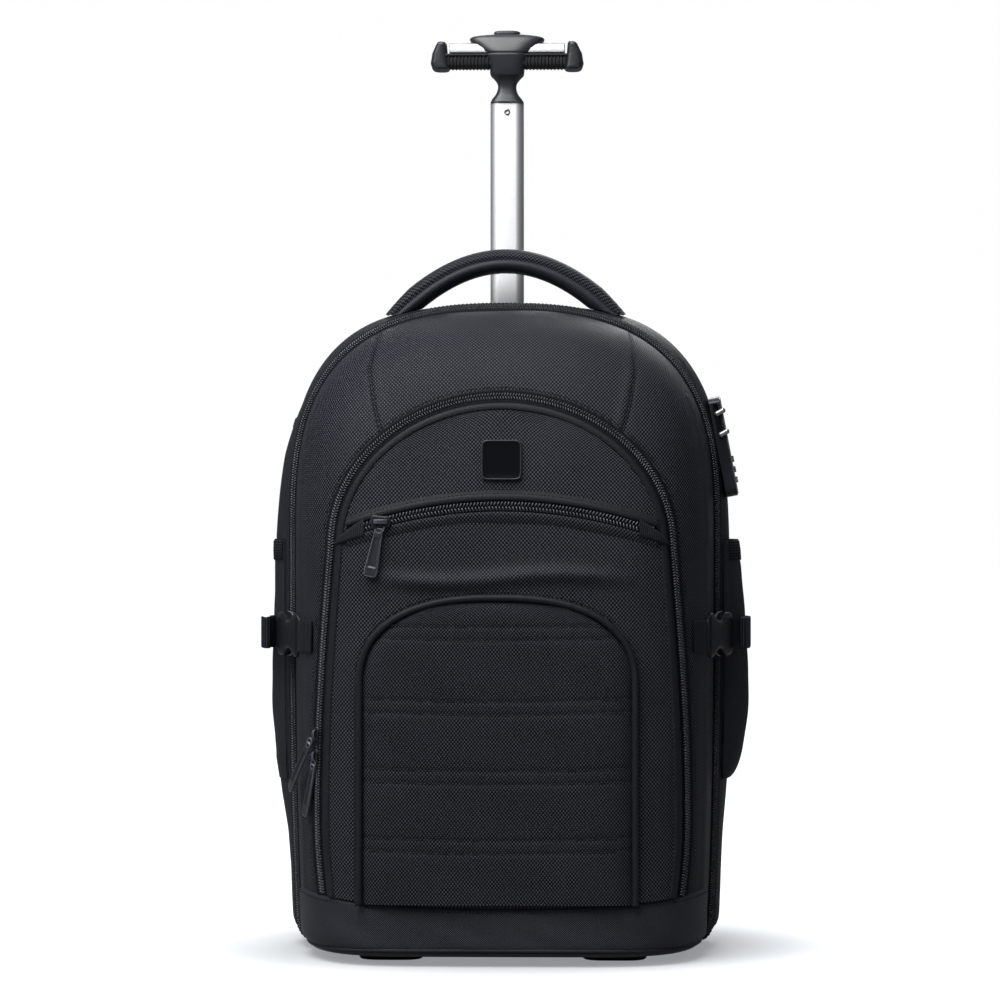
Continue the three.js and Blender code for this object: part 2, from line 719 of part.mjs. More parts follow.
// Small pocket zip across the front pocket, sagging at both ends
const smallZipZ = (x) => SMALL_ZIP_TOP - SMALL_ZIP_DROP * Math.abs(x / (SMALL_ZIP_LENGTH / 2)) ** 2;
const smallZipPath = Array.from({ length: 17 }, (_, i) => {
  const x = SMALL_ZIP_LENGTH * (i / 16 - 0.5);
  return onFront(x, smallZipZ(x), 0);
});
const smallZipLift = pocketTopLift + GAP * 2;
const pocketZip = tape(smallZipPath, SMALL_ZIP_WIDTH, ZIP_THICK, smallZipLift);

// A slider: a small block with a rounded back that rides on a zip
function slider(centre, normal, along, lift) {
  const across = V(0, 0, 0).crossVectors(along, normal).normalize();
  const rings = [-0.5, -0.3, 0.3, 0.5].map((share) => {
    const narrow = Math.abs(share) > 0.4 ? 0.7 : 1;
    const base = centre.clone().addScaledVector(along, SLIDER_LENGTH * share).addScaledVector(normal, lift);
    return [[-0.5, 0], [0.5, 0], [0.5, 0.6], [0.28, 1], [-0.28, 1], [-0.5, 0.6]].map(([u, v]) => base.clone()
      .addScaledVector(across, SLIDER_WIDTH * u * narrow)
      .addScaledVector(normal, SLIDER_THICK * v * narrow));
  });
  return loft(rings);
}

// A puller: a flat metal tongue that hangs from its slider along a path
function puller(path, lift, width = PULLER_WIDTH) {
  const shares = [0.55, 0.8, 1, 1, 0.8];
  const rings = path.map(({ point, normal }, i) => {
    const before = path[Math.max(0, i - 1)].point;
    const after = path[Math.min(path.length - 1, i + 1)].point;
    const along = V(0, 0, 0).subVectors(after, before).normalize();
    const across = V(0, 0, 0).crossVectors(along, normal).normalize();
    const half = (width / 2) * shares[i];
    const low = point.clone().addScaledVector(normal, lift);
    const high = point.clone().addScaledVector(normal, lift + PULLER_THICK);
    return [
      low.clone().addScaledVector(across, -half), low.clone().addScaledVector(across, half),
      high.clone().addScaledVector(across, half), high.clone().addScaledVector(across, -half),
    ];
  });
  return loft(rings);
}

// The puller's path over the front, from one point of the front view to another
function pullerPath(x0, z0, x1, z1) {
  return [0, 0.15, 0.4, 0.85, 1].map((t) => onFront(mix(x0, x1, t), mix(z0, z1, t), 0));
}

const zipTopLift = smallZipLift + ZIP_THICK + GAP;
const SMALL_SLIDER_X = -SMALL_ZIP_LENGTH * 0.39;
const smallSliderSeat = onFront(SMALL_SLIDER_X, smallZipZ(SMALL_SLIDER_X), 0);
const smallSliderAlong = V(1, 0, 0)
  .addScaledVector(smallSliderSeat.normal, -smallSliderSeat.normal.x)
  .normalize();
const pocketSlider = slider(smallSliderSeat.point, smallSliderSeat.normal, smallSliderAlong, zipTopLift);
const pocketPuller = puller(
  pullerPath(
    SMALL_SLIDER_X - 1, smallZipZ(SMALL_SLIDER_X) - SLIDER_WIDTH / 2 - GAP * 2,
    SMALL_SLIDER_X - 8, smallZipZ(SMALL_SLIDER_X) - SLIDER_WIDTH / 2 - GAP * 2 - PULLER_LENGTH,
  ),
  zipTopLift,
);

// Two sliders on the left of the arched zip, their pullers hanging
const FRONT_SLIDERS = [
  { name: 'upper', z: 177, endX: -158, endDrop: 45, pullerLift: SLIDER_THICK + GAP },
  { name: 'lower', z: 160, endX: -149.5, endDrop: 47, pullerLift: 0 },
];
const frontTapeLift = POCKET_LIFT + ZIP_THICK + GAP;

function frontSliderParts({ z, endX, endDrop, pullerLift }) {
  const x = -pocketHalf(z, 0);
  const seat = onFront(x, z, 0);
  const along = V(0, 0, 1).addScaledVector(seat.normal, -seat.normal.z).normalize();
  return {
    slider: slider(seat.point, seat.normal, along, frontTapeLift),
    puller: puller(
      pullerPath(x - 1, z - SLIDER_LENGTH / 2 - GAP * 1.6, endX, z - endDrop),
      frontTapeLift + pullerLift,
      PULLER_WIDTH * 0.9,
    ),
  };
}

// Badge: a square plate with a rounded edge
const badge = (() => {
  const half = BADGE_SIZE / 2;
  const corner = 3;
  const shape = new THREE.Shape();
  shape.moveTo(-half + corner, -half);
  shape.lineTo(half - corner, -half);
  shape.absarc(half - corner, -half + corner, corner, -Math.PI / 2, 0);
  shape.absarc(half - corner, half - corner, corner, 0, Math.PI / 2);
  shape.absarc(-half + corner, half - corner, corner, Math.PI / 2, Math.PI);
  shape.absarc(-half + corner, -half + corner, corner, Math.PI, Math.PI * 1.5);
  const options = { depth: BADGE_THICK, bevelEnabled: false, curveSegments: 3 };
  const plate = new THREE.ExtrudeGeometry(shape, options);
  const seat = onFront(0, SMALL_ZIP_TOP + BADGE_OVER_ZIP, pocketTopLift + GAP + 0.2);
  const right = V(1, 0, 0);
  const up = V(0, 0, 0).crossVectors(seat.normal, right).normalize();
  plate.applyMatrix4(new THREE.Matrix4().makeBasis(right, up, seat.normal).setPosition(seat.point));
  return plate;
})();

// Side pocket: a pouch of cloth that stands off the bag's side, open at the top
function sidePocketBulge(name, y, z) {
  const across = clamp01((y - SIDE_POCKET_FRONT) / (SIDE_POCKET_BACK - SIDE_POCKET_FRONT));
  const up = clamp01((z - SIDE_POCKET_FOOT) / (SIDE_POCKET_TOP - SIDE_POCKET_FOOT));
  const belly = up < 0.37
    ? Math.sqrt(Math.max(0, 1 - (1 - up / 0.37) ** 2))
    : 1 - 0.55 * ((up - 0.37) / 0.63) ** 1.5;
  return SIDE_POCKET_PEAK[name] * belly * Math.max(0, Math.sin(Math.PI * across)) ** 0.6;
}

function sidePocket(name, side) {
  const grid = (lift) => Array.from({ length: 9 }, (_, r) => {
    const z = mix(SIDE_POCKET_FOOT, SIDE_POCKET_TOP, (r / 8) ** 1.3);
    return Array.from({ length: 9 }, (_, c) => {
      const y = mix(SIDE_POCKET_FRONT, SIDE_POCKET_BACK, 0.5 - 0.5 * Math.cos((Math.PI * c) / 8));
      return V(side * (sideAt(y, z) + lift + sidePocketBulge(name, y, z)), y, z);
    });
  });
  return wallBetween(grid(SIDE_POCKET_LIFT + SIDE_POCKET_WALL), grid(SIDE_POCKET_LIFT));
}

// Webbing that stands on edge: a tape along a plan path at one height
function webbing(plan, side, z, width = WEBBING_WIDTH) {
  const rings = plan.map((p, i) => {
    const before = plan[Math.max(0, i - 1)];
    const after = plan[Math.min(plan.length - 1, i + 1)];
    const length = Math.hypot(after[0] - before[0], after[1] - before[1]);
    const nx = (-(after[1] - before[1]) / length) * (WEBBING_THICK / 2);
    const ny = ((after[0] - before[0]) / length) * (WEBBING_THICK / 2);
    return [[1, -1], [1, 1], [-1, 1], [-1, -1]].map(([n, up]) => V(
      side * (p[0] + n * nx),
      p[1] + n * ny,
      z + (up * width) / 2,
    ));
  });
  return loft(rings);
}

// Compression strap. The buckle lies across the corner between the front and the side of the bag.
const BUCKLE_FRONT_Y = -60;
const BUCKLE_REAR_Y = -15;
const STRAP_START_Y = -84;

function buckleFrame(name, side) {
  const start = [sideAt(BUCKLE_FRONT_Y, STRAP_HEIGHT) + 3.5, BUCKLE_FRONT_Y];
  const endX = REAR_WIDTH / 2 + 4;
  const length = Math.hypot(endX - start[0], BUCKLE_REAR_Y - start[1]);
  const along = V((side * (endX - start[0])) / length, (BUCKLE_REAR_Y - start[1]) / length, 0);
  const outward = V(side * along.y, -side * along.x, 0);
  const origin = V(side * start[0], start[1], STRAP_HEIGHT);
  const up = V(0, 0, 0).crossVectors(outward, along);
  return new THREE.Matrix4().makeBasis(along, up, outward).setPosition(origin);
}

const SOCKET_LENGTH = BUCKLE_LENGTH * 0.5;

function buckleSocket(frame) {
  const half = BUCKLE_WIDTH / 2;
  const shape = new THREE.Shape();
  shape.moveTo(0, -half * 0.84);
  shape.quadraticCurveTo(SOCKET_LENGTH * 0.4, -half * 1.02, SOCKET_LENGTH, -half * 0.9);
  shape.lineTo(SOCKET_LENGTH, half * 0.9);
  shape.quadraticCurveTo(SOCKET_LENGTH * 0.4, half * 1.02, 0, half * 0.84);
  const options = { depth: BUCKLE_THICK, bevelEnabled: false, curveSegments: 5 };
  const body = new THREE.ExtrudeGeometry(shape, options);
  const notches = [-1, 1].map((s) => block(
    [SOCKET_LENGTH * 0.45, Math.min(s * half * 0.72, s * half * 1.3), BUCKLE_THICK * 0.2],
    [SOCKET_LENGTH * 0.85, Math.max(s * half * 0.72, s * half * 1.3), BUCKLE_THICK * 0.8],
  ));
  const slot = block([2.5, -WEBBING_WIDTH / 2, -1], [5.5, WEBBING_WIDTH / 2, BUCKLE_THICK + 1]);
  const piece = cut(body, ...notches, slot);
  piece.applyMatrix4(frame);
  return piece;
}

function bucklePlug(frame) {
  const half = BUCKLE_WIDTH / 2;
  const start = SOCKET_LENGTH + GAP;
  const shape = new THREE.Shape();
  shape.moveTo(start, -half * 0.88);
  shape.lineTo(BUCKLE_LENGTH * 0.72, -half * 0.96);
  shape.quadraticCurveTo(BUCKLE_LENGTH * 0.98, -half * 0.98, BUCKLE_LENGTH, -half * 0.7);
  shape.lineTo(BUCKLE_LENGTH, half * 0.7);
  shape.quadraticCurveTo(BUCKLE_LENGTH * 0.98, half * 0.98, BUCKLE_LENGTH * 0.72, half * 0.96);
  shape.lineTo(start, half * 0.88);
  const options = { depth: BUCKLE_THICK * 0.75, bevelEnabled: false, curveSegments: 4 };
  const body = new THREE.ExtrudeGeometry(shape, options);
  body.translate(0, 0, BUCKLE_THICK * 0.1);
  const slots = [0.7, 0.85].map((share) => block(
    [BUCKLE_LENGTH * share, -WEBBING_WIDTH / 2 - GAP, -1],
    [BUCKLE_LENGTH * share + 4, WEBBING_WIDTH / 2 + GAP, BUCKLE_THICK + 1],
  ));
  const piece = cut(body, ...slots);
  piece.applyMatrix4(frame);
  return piece;
}

function frontStrap(side, frame) {
  const lift = GAP + WEBBING_THICK / 2 + 0.3;
  const plan = Array.from({ length: 6 }, (_, i) => {
    const y = mix(STRAP_START_Y, BUCKLE_FRONT_Y - 5, i / 5);
    return [sideAt(y, STRAP_HEIGHT) + lift * 0.85, y - lift * 0.5];
  });
  const seat = V(-GAP * 1.9, 0, BUCKLE_THICK / 2).applyMatrix4(frame);
  plan.push([side * seat.x, seat.y]);
  return webbing(plan, side, STRAP_HEIGHT);
}

// The rear webbing comes from the back, lies over the side pocket, meets the plug and ends in a loose tail.
function rearStrap(name, side) {
  const lift = SIDE_POCKET_LIFT + SIDE_POCKET_WALL + GAP * 2 + WEBBING_THICK / 2;
  const plan = [54, 50, 44, 38, 32, 26, 20, 14].map((y) => {
    const onPocket = y < SIDE_POCKET_BACK;
    const bulges = [STRAP_HEIGHT, STRAP_HEIGHT - 14].map((z) => sidePocketBulge(name, y, z));
    const bulge = Math.max(...bulges);
    return [sideAt(y, STRAP_HEIGHT) + (onPocket ? lift + bulge : lift * 0.6), y];
  });
  const bucklePoint = REAR_WIDTH / 2 + 4 + BUCKLE_THICK * 0.4;
  plan.push([bucklePoint + 4.5, 2], [bucklePoint + 2.6, -7.5]);
  plan.push([bucklePoint + 3.6, -9.6], [bucklePoint + 5.6, -9.2]);
  plan.push([bucklePoint + 7.8, -2], [bucklePoint + 9.6, 6], [bucklePoint + 10.4, 14]);
  return webbing(plan, side, STRAP_HEIGHT);
}

// Combination lock on the right side, its dials on one axis along its length
const lockSlope = Math.atan2(
  sideAt(LOCK_Y, LOCK_HEIGHT - LOCK_LENGTH / 2) - sideAt(LOCK_Y, LOCK_HEIGHT + LOCK_LENGTH / 2),
  LOCK_LENGTH,
);
const lockUp = V(-Math.sin(lockSlope), 0, Math.cos(lockSlope));
const lockOut = V(Math.cos(lockSlope), 0, Math.sin(lockSlope));
const lockSeat = (() => {
  let lift = 0;
  for (let i = -10; i <= 10; i += 1) {
    const z = LOCK_HEIGHT + (LOCK_LENGTH / 2) * (i / 10) * Math.cos(lockSlope);
    for (const y of [LOCK_Y - LOCK_WIDTH / 2, LOCK_Y, LOCK_Y + LOCK_WIDTH / 2]) {
      const surface = V(sideAt(y, z), 0, z);
      lift = Math.max(lift, surface.sub(V(sideAt(LOCK_Y, LOCK_HEIGHT), 0, LOCK_HEIGHT)).dot(lockOut));
    }
  }
  return V(sideAt(LOCK_Y, LOCK_HEIGHT), LOCK_Y, LOCK_HEIGHT).addScaledVector(lockOut, lift + GAP);
})();
const lockFrame = new THREE.Matrix4().makeBasis(V(0, 1, 0), lockUp, lockOut).setPosition(lockSeat);
const DIAL_SHARES = [-1, 0, 1];
const dialCentreUp = (k) => -LOCK_LENGTH * 0.24 + k * DIAL_PITCH;
const DIAL_DEPTH = LOCK_THICK - DIAL_RADIUS + DIAL_PROUD;

function dialShape(radius, thick, up) {
  const dial = new THREE.CylinderGeometry(radius, radius, thick, 18);
  dial.translate(0, up, DIAL_DEPTH);
  return dial;
}

const lockBody = (() => {
  const halfW = LOCK_WIDTH / 2;
  const halfL = LOCK_LENGTH / 2;
  const shape = new THREE.Shape();
  shape.moveTo(-halfW, -halfL + halfW * 0.8);
  shape.absellipse(0, -halfL + halfW * 0.8, halfW, halfW * 0.8, Math.PI, 2 * Math.PI);
  shape.absellipse(0, halfL - halfW * 0.5, halfW, halfW * 0.5, 0, Math.PI);
  const body = new THREE.ExtrudeGeometry(shape, { depth: LOCK_THICK, bevelEnabled: false, curveSegments: 6 });
  const wells = DIAL_SHARES.map((k) => dialShape(DIAL_RADIUS + 0.5, DIAL_THICK + 0.8, dialCentreUp(k)));
  const mouth = block(
    [-halfW - 1, halfL * 0.25, LOCK_THICK * 0.32],
    [-halfW * 0.2, halfL * 0.85, LOCK_THICK * 0.72],
  );
  const piece = cut(body, ...wells, mouth);
  piece.applyMatrix4(lockFrame);
  return piece;
})();

function lockDial(k) {
  const dial = dialShape(DIAL_RADIUS, DIAL_THICK, dialCentreUp(k));
  dial.applyMatrix4(lockFrame);
  return dial;
}

// A slider of the main zip with its tab that reaches back into the lock
function mainSlider(z, hasTab) {
  const side = 1;
  const x = halfAt(zipOutline, z);
  const slope = Math.atan2(halfAt(zipOutline, z - 4) - halfAt(zipOutline, z + 4), 8);
  const out = V(side * Math.cos(slope), 0, Math.sin(slope));
  const up = V(-side * Math.sin(slope), 0, Math.cos(slope));
  const seat = V(side * x, ZIP_Y, z);
  const head = slider(seat, out, up, GAP);
  if (!hasTab) return head;
  const base = seat.clone().addScaledVector(out, GAP + SLIDER_THICK * 0.4);
  const rings = [[-1, 0], [6.5, 1.6]].map(([y, rise]) => [[-3.2, 0], [3.2, 0], [3.2, 1.4], [-3.2, 1.4]]
    .map(([u, v]) => base.clone()
      .addScaledVector(V(0, 1, 0), y)
      .addScaledVector(up, u)
      .addScaledVector(out, v + rise)));
  return join(head, loft(rings));
}

// A small cord end on the left side of the bag
const sideToggle = (() => {
  const z = TOGGLE_HEIGHT;
  const y = TOGGLE_Y;
  const x = -sideAt(y, z);
  const slope = Math.atan2(sideAt(y, z - 4) - sideAt(y, z + 4), 8);
  const out = V(-Math.cos(slope), 0, Math.sin(slope));
  const up = V(Math.sin(slope), 0, Math.cos(slope));
  return slider(V(x, y, z), out, up, GAP * 3);
})();

// Carry handle: a padded arch with a flattened foot at each end
const handleZ = (x) => HANDLE_FOOT + (HANDLE_TOP - HANDLE_FOOT) * (1 - (x / (HANDLE_SPAN / 2)) ** 2);
const bagTopAt = (x, y) => archAt(y < REAR_RIM_Y ? zipOutline : rearOutlineAt(y), x);
const carryHandle = (() => {
  const steps = 16;
  const rings = Array.from({ length: steps + 1 }, (_, i) => {
    const share = i / steps;
    const x = (HANDLE_SPAN / 2) * 1.02 * Math.sin(Math.PI * (share - 0.5));
    const slope = (-2 * (HANDLE_TOP - HANDLE_FOOT) * x) / (HANDLE_SPAN / 2) ** 2;
    const along = V(1, 0, slope).normalize();
    const normal = V(-along.z, 0, along.x);
    const centre = V(x, HANDLE_Y, handleZ(x));
    const foot = clamp01((Math.abs(x) / (HANDLE_SPAN / 2) - 0.8) / 0.22);
    return Array.from({ length: 10 }, (_, k) => {
      const angle = (2 * Math.PI * (k + 0.5)) / 10;
      const c = Math.cos(angle);
      const s = Math.sin(angle);
      const point = centre.clone();
      const halfThick = (HANDLE_THICK / 2) * (1 - 0.25 * foot);
      point.addScaledVector(normal, halfThick * Math.sign(s) * Math.abs(s) ** 0.8);
      point.y += (HANDLE_DEPTH / 2) * Math.sign(c) * Math.abs(c) ** 0.8;
      point.z = Math.max(point.z, bagTopAt(point.x, point.y) + GAP * 1.6 + (s > 0 ? 1.2 : 0));
      return point;
    });
  });
  return loft(rings);
})();

// Padded back panel with a channel for the telescopic tubes
const padOutline = {
  half: PAD_WIDTH / 2, top: PAD_TOP, shoulder: SHOULDER_HEIGHT, sidePower: 2.4, topPower: 3,
};
const padFront = BACK_Y + GAP;
const padStations = stations(PAD_FOOT, SHOULDER_HEIGHT, 4, 18);

function padRow(inset, y, share = 1) {
  const outline = insetOutline(padOutline, inset);
  return padStations.map((station) => {
    if (station.side) {
      const z = Math.max(station.z, PAD_FOOT + inset);
      return V(station.side * outline.half * share, y, z);
    }
    const p = onOutline(outline, station);
    return V(p.x * share, y, mix(SHOULDER_HEIGHT, p.z, share));
  });
}

const outerTubeSize = {
  width: TOP_TUBE.width + 2 * STAGE_STEP,
  depth: TOP_TUBE.depth + 2 * STAGE_STEP,
};
const backPad = (() => {
  const back = [
    padRow(0, padFront, 1), padRow(0, padFront + PAD_THICK - PAD_ROUNDING),
    padRow(PAD_ROUNDING * 0.3, padFront + PAD_THICK - PAD_ROUNDING * 0.3),
    padRow(PAD_ROUNDING, padFront + PAD_THICK), padRow(PAD_ROUNDING, padFront + PAD_THICK, 0.5),
    padRow(PAD_ROUNDING, padFront + PAD_THICK, 0),
  ];
  const front = back.map((row) => row.map((p) => V(p.x, padFront, p.z)));
  const shares = [1, 1, 1, 1, 0.5, 0];
  const flat = front.map((row, i) => padRow(0, padFront, shares[i]));
  const solid = wallBetween(
    [back[1], back[2], back[3], back[4], back[5]],
    [flat[0], flat[0].map((p) => V(p.x * 0.97, p.y, mix(SHOULDER_HEIGHT, p.z, 0.97))),
      flat[0].map((p) => V(p.x * 0.9, p.y, mix(SHOULDER_HEIGHT, p.z, 0.9))),
      flat[0].map((p) => V(p.x * 0.5, p.y, mix(SHOULDER_HEIGHT, p.z, 0.9))),
      flat[0].map((p) => V(0, p.y, mix(SHOULDER_HEIGHT, p.z, 0.9)))],
  );
  return solid;
})();

const channelHalf = outerTubeSize.width / 2 + GAP;
const channelBack = TUBE_Y + outerTubeSize.depth / 2 + GAP;
const channel = block(
  [-channelHalf, padFront - 10, TUBE_FOOT - GAP],
  [channelHalf, channelBack, PAD_TOP + 20],
);

// Shoulder strap: a padded strap that leaves the top of the back panel and hangs free of it
const HARNESS_ROWS = [
  { across: 0.64, back: -0.025, up: 0.95, width: 0.8, thick: 0.6, tilt: 27 },
  { across: 0.68, back: 0.4, up: 0.957, width: 0.9, thick: 0.9, tilt: 27 },
  { across: 0.73, back: 0.64, up: 0.938, width: 0.98, thick: 1, tilt: 25 },
  { across: 0.79, back: 0.8, up: 0.893, width: 1, thick: 1, tilt: 16 },
  { across: 0.84, back: 0.9, up: 0.82, width: 1, thick: 1, tilt: 0 },
  { across: 0.84, back: 0.88, up: 0.69, width: 0.96, thick: 1, tilt: 0 },
  { across: 0.78, back: 0.68, up: 0.58, width: 0.86, thick: 0.95, tilt: 0 },
  { across: 0.72, back: 0.42, up: 0.5, width: 0.72, thick: 0.8, tilt: 0 },
];

const STRAP_SECTION = [
  [-1, 0], [-0.85, 0.8], [-0.4, 1], [0.4, 1], [0.85, 0.8], [1, 0], [0.85, -0.8], [0.4, -1], [-0.4, -1],
  [-0.85, -0.8],
];

function harnessPoint(row, side) {
  return V(side * (PAD_WIDTH / 2) * row.across, PAD_BACK + row.back * 27, PAD_TOP * row.up);
}

function shoulderStrap(side) {
  const curve = new THREE.CatmullRomCurve3(HARNESS_ROWS.map((row) => harnessPoint(row, side)));
  const steps = 13;
  const rings = Array.from({ length: steps + 1 }, (_, i) => {
    const t = i / steps;
    const place = t * (HARNESS_ROWS.length - 1);
    const a = HARNESS_ROWS[Math.min(HARNESS_ROWS.length - 2, Math.floor(place))];
    const b = HARNESS_ROWS[Math.min(HARNESS_ROWS.length - 1, Math.floor(place) + 1)];
    const f = place - Math.min(HARNESS_ROWS.length - 2, Math.floor(place));
    const tilt = (mix(a.tilt, b.tilt, f) * Math.PI) / 180;
    const centre = curve.getPoint(t);
    const along = curve.getTangent(t);
    const across = V(side * Math.cos(tilt), 0, -Math.sin(tilt));
    const normal = V(0, 0, 0).crossVectors(along, across).normalize();
    const wide = V(0, 0, 0).crossVectors(normal, along).normalize();
    const half = (HARNESS_WIDTH / 2) * mix(a.width, b.width, f);
    const thick = (HARNESS_THICK / 2) * mix(a.thick, b.thick, f);
    return STRAP_SECTION.map(([u, v]) => centre.clone()
      .addScaledVector(wide, half * u)
      .addScaledVector(normal, thick * v));
  });
  return loft(rings);
}

// Lower webbing of a shoulder strap, down to the foot of the back panel
function harnessWebbing(side) {
  const end = harnessPoint(HARNESS_ROWS[HARNESS_ROWS.length - 1], side);
  const rows = [
    { x: end.x, y: end.y - GAP, z: end.z - HARNESS_THICK * 0.4 },
    { x: side * PAD_WIDTH * 0.385, y: PAD_BACK + 8, z: end.z * 0.72 },
    { x: side * PAD_WIDTH * 0.4, y: PAD_BACK + 3.4, z: end.z * 0.48 },
    { x: side * PAD_WIDTH * 0.41, y: PAD_BACK + GAP + WEBBING_THICK / 2, z: housingTop + 28 },
    { x: side * PAD_WIDTH * 0.41, y: PAD_BACK + GAP + WEBBING_THICK / 2, z: housingTop + 12 },
  ];
  const path = rows.map((row) => ({ point: V(row.x, row.y, row.z), normal: V(0, 1, 0) }));
  return tape(path, WEBBING_WIDTH, WEBBING_THICK, -WEBBING_THICK / 2);
}

// Telescopic tubes: flat ovals, each inside the next
function ovalPoints(width, depth, x = 0, y = TUBE_Y) {
  const end = depth / 2;
  const flat = width / 2 - end;
  const points = [];
  for (const side of [1, -1]) {
    for (let i = 0; i <= 5; i += 1) {
      const angle = -Math.PI / 2 + (Math.PI * i) / 5 + (side < 0 ? Math.PI : 0);
      points.push([x + side * flat + end * Math.cos(angle), y + end * Math.sin(angle)]);
    }
  }
  return points;
}

function tube(width, depth, wall, foot, top) {
  const outer = ovalPoints(width, depth);
  const inner = ovalPoints(width - 2 * wall, depth - 2 * wall);
  const ring = (points, z) => points.map(([x, y]) => V(x, y, z));
  const rows = [ring(outer, foot), ring(outer, top), ring(inner, top), ring(inner, foot)];
  return loft(rows, true);
}

const stage = (k, foot, top) => tube(
  TOP_TUBE.width + k * STAGE_STEP, TOP_TUBE.depth + k * STAGE_STEP, STAGE_WALL, foot, top,
);
const topTube = tube(TOP_TUBE.width, TOP_TUBE.depth, TOP_TUBE.wall, TOP_TUBE_FOOT, GRIP_NECK_FOOT - 0.3);
const middleTube = stage(1, TUBE_FOOT + 4, TUBE_MOUTH + 1);
const outerTube = stage(2, TUBE_FOOT, TUBE_MOUTH);

const tubeScrew = (() => {
  const head = new THREE.CylinderGeometry(2.5, 2.5, 1.2, 12);
  head.translate(0, TUBE_Y - TOP_TUBE.depth / 2 - 0.9, GRIP_NECK_FOOT - 8);
  return head;
})();

// Grip core: block, shoulders and neck in one moulding, with the bar passing through it
const CORE_ROWS = [
  { z: GRIP_NECK_FOOT, half: 14.2, depth: 0.7 },
  { z: GRIP_NECK_FOOT + 5, half: 11.4, depth: 0.62 },
  { z: GRIP_NECK_FOOT + 13, half: 8.2, depth: 0.6 },
  { z: GRIP_NECK_FOOT + 19, half: 9.2, depth: 0.7 },
  { z: GRIP_NECK_FOOT + 23, half: 15, depth: 0.96 },
  { z: GRIP_BAR_FOOT, half: 19.5, depth: 1.08 },
  { z: GRIP_BAR_TOP, half: 26, depth: 1.08 },
  { z: GRIP_TOP - 5.6, half: 30, depth: 0.96 },
  { z: GRIP_TOP - 3.6, half: 27, depth: 0.8 },
];
const gripCoreBody = loft(CORE_ROWS.map((row) => Array.from({ length: 16 }, (_, k) => {
  const angle = (2 * Math.PI * (k + 0.5)) / 16;
  const c = Math.cos(angle);
  const s = Math.sin(angle);
  const halfDepth = (GRIP_DEPTH / 2) * row.depth;
  const x = row.half * Math.sign(c) * Math.abs(c) ** 0.55;
  return V(x, TUBE_Y + halfDepth * Math.sign(s) * Math.abs(s) ** 0.55, row.z);
})));

// A bar along X with a section given by shares of the grip's depth and by heights
function barAlong(x0, x1, section) {
  return loft([x0, x1].map((x) => section.map(([y, z]) => V(x, TUBE_Y + y, z))));
}

function barSection(grow) {
  const half = GRIP_DEPTH * 0.43 + grow;
  const top = GRIP_BAR_TOP + grow;
  const foot = GRIP_BAR_FOOT - grow;
  const height = top - foot;
  return [[-half, foot], [half, foot], [half, foot + height * 0.4],
    [half * 0.8, top - height * 0.15], [half * 0.35, top],
    [-half * 0.35, top], [-half * 0.8, top - height * 0.15], [-half, foot + height * 0.4]];
}
const capInner = GRIP_WIDTH / 2 - CAP_WIDTH;
const gripBar = barAlong(-capInner + GAP, capInner - GAP, barSection(0));
const buttonWell = block(
  [-BUTTON_WIDTH / 2 - 0.4, TUBE_Y - BUTTON_DEPTH / 2 - 0.4, GRIP_BAR_TOP + 1.6],
  [BUTTON_WIDTH / 2 + 0.4, TUBE_Y + BUTTON_DEPTH / 2 + 0.4, GRIP_TOP + 5],
);
const sleeveInner = 20.5;
const gripCore = cut(gripCoreBody, barAlong(-60, 60, barSection(0.4)), buttonWell);

const releaseButton = (() => {
  const foot = GRIP_BAR_TOP + 5.2;
  const rows = [[foot, 1], [GRIP_TOP - 2, 1], [GRIP_TOP, 0.78]];
  const rings = rows.map(([z, share]) => Array.from({ length: 12 }, (_, k) => {
    const angle = (2 * Math.PI * (k + 0.5)) / 12;
    const c = Math.cos(angle);
    const s = Math.sin(angle);
    const x = (BUTTON_WIDTH / 2) * share * Math.sign(c) * Math.abs(c) ** 0.5;
    return V(x, TUBE_Y + (BUTTON_DEPTH / 2) * share * Math.sign(s) * Math.abs(s) ** 0.5, z);
  }));
  return loft(rings);
})();

// Ribbed sleeve: the soft underside of the bar, its ribs a pitch apart
function gripSleeve(side) {
  const top = GRIP_BAR_FOOT - 0.4;
  const length = capInner - GAP - sleeveInner;
  const ribs = Math.max(2, Math.round(length / RIB_PITCH));
  const rings = Array.from({ length: ribs * 2 + 1 }, (_, i) => {
    const x = side * (sleeveInner + (length * i) / (ribs * 2));
    const deep = i % 2 === 0 ? 0.88 : 1;
    const half = GRIP_DEPTH * 0.45 * deep;
    const drop = (top - SLEEVE_FOOT) * deep;
    return [[-half, top], [half, top], [half, top - drop * 0.5], [half * 0.5, top - drop],
      [-half * 0.5, top - drop], [-half, top - drop * 0.5]].map(([y, z]) => V(x, TUBE_Y + y, z));
  });
  return loft(rings);
}

// End cap of the bar, rounded outwards
function gripCap(side) {
  const middle = (GRIP_BAR_TOP + 1 + GRIP_BAR_TOP + 1 - CAP_HEIGHT) / 2;
  const rings = [[0, 0.94], [0.2, 1], [0.75, 1], [0.95, 0.84], [1, 0.6]].map(([share, size]) => {
    const x = side * (capInner + CAP_WIDTH * share);
    return Array.from({ length: 12 }, (_, k) => {
      const angle = (2 * Math.PI * (k + 0.5)) / 12;
      const c = Math.cos(angle);
      const s = Math.sin(angle);
      const y = (GRIP_DEPTH / 2) * size * Math.sign(c) * Math.abs(c) ** 0.75;
      return V(x, TUBE_Y + y, middle + (CAP_HEIGHT / 2) * size * Math.sign(s) * Math.abs(s) ** 0.75);
    });
  });
  return loft(rings);
}

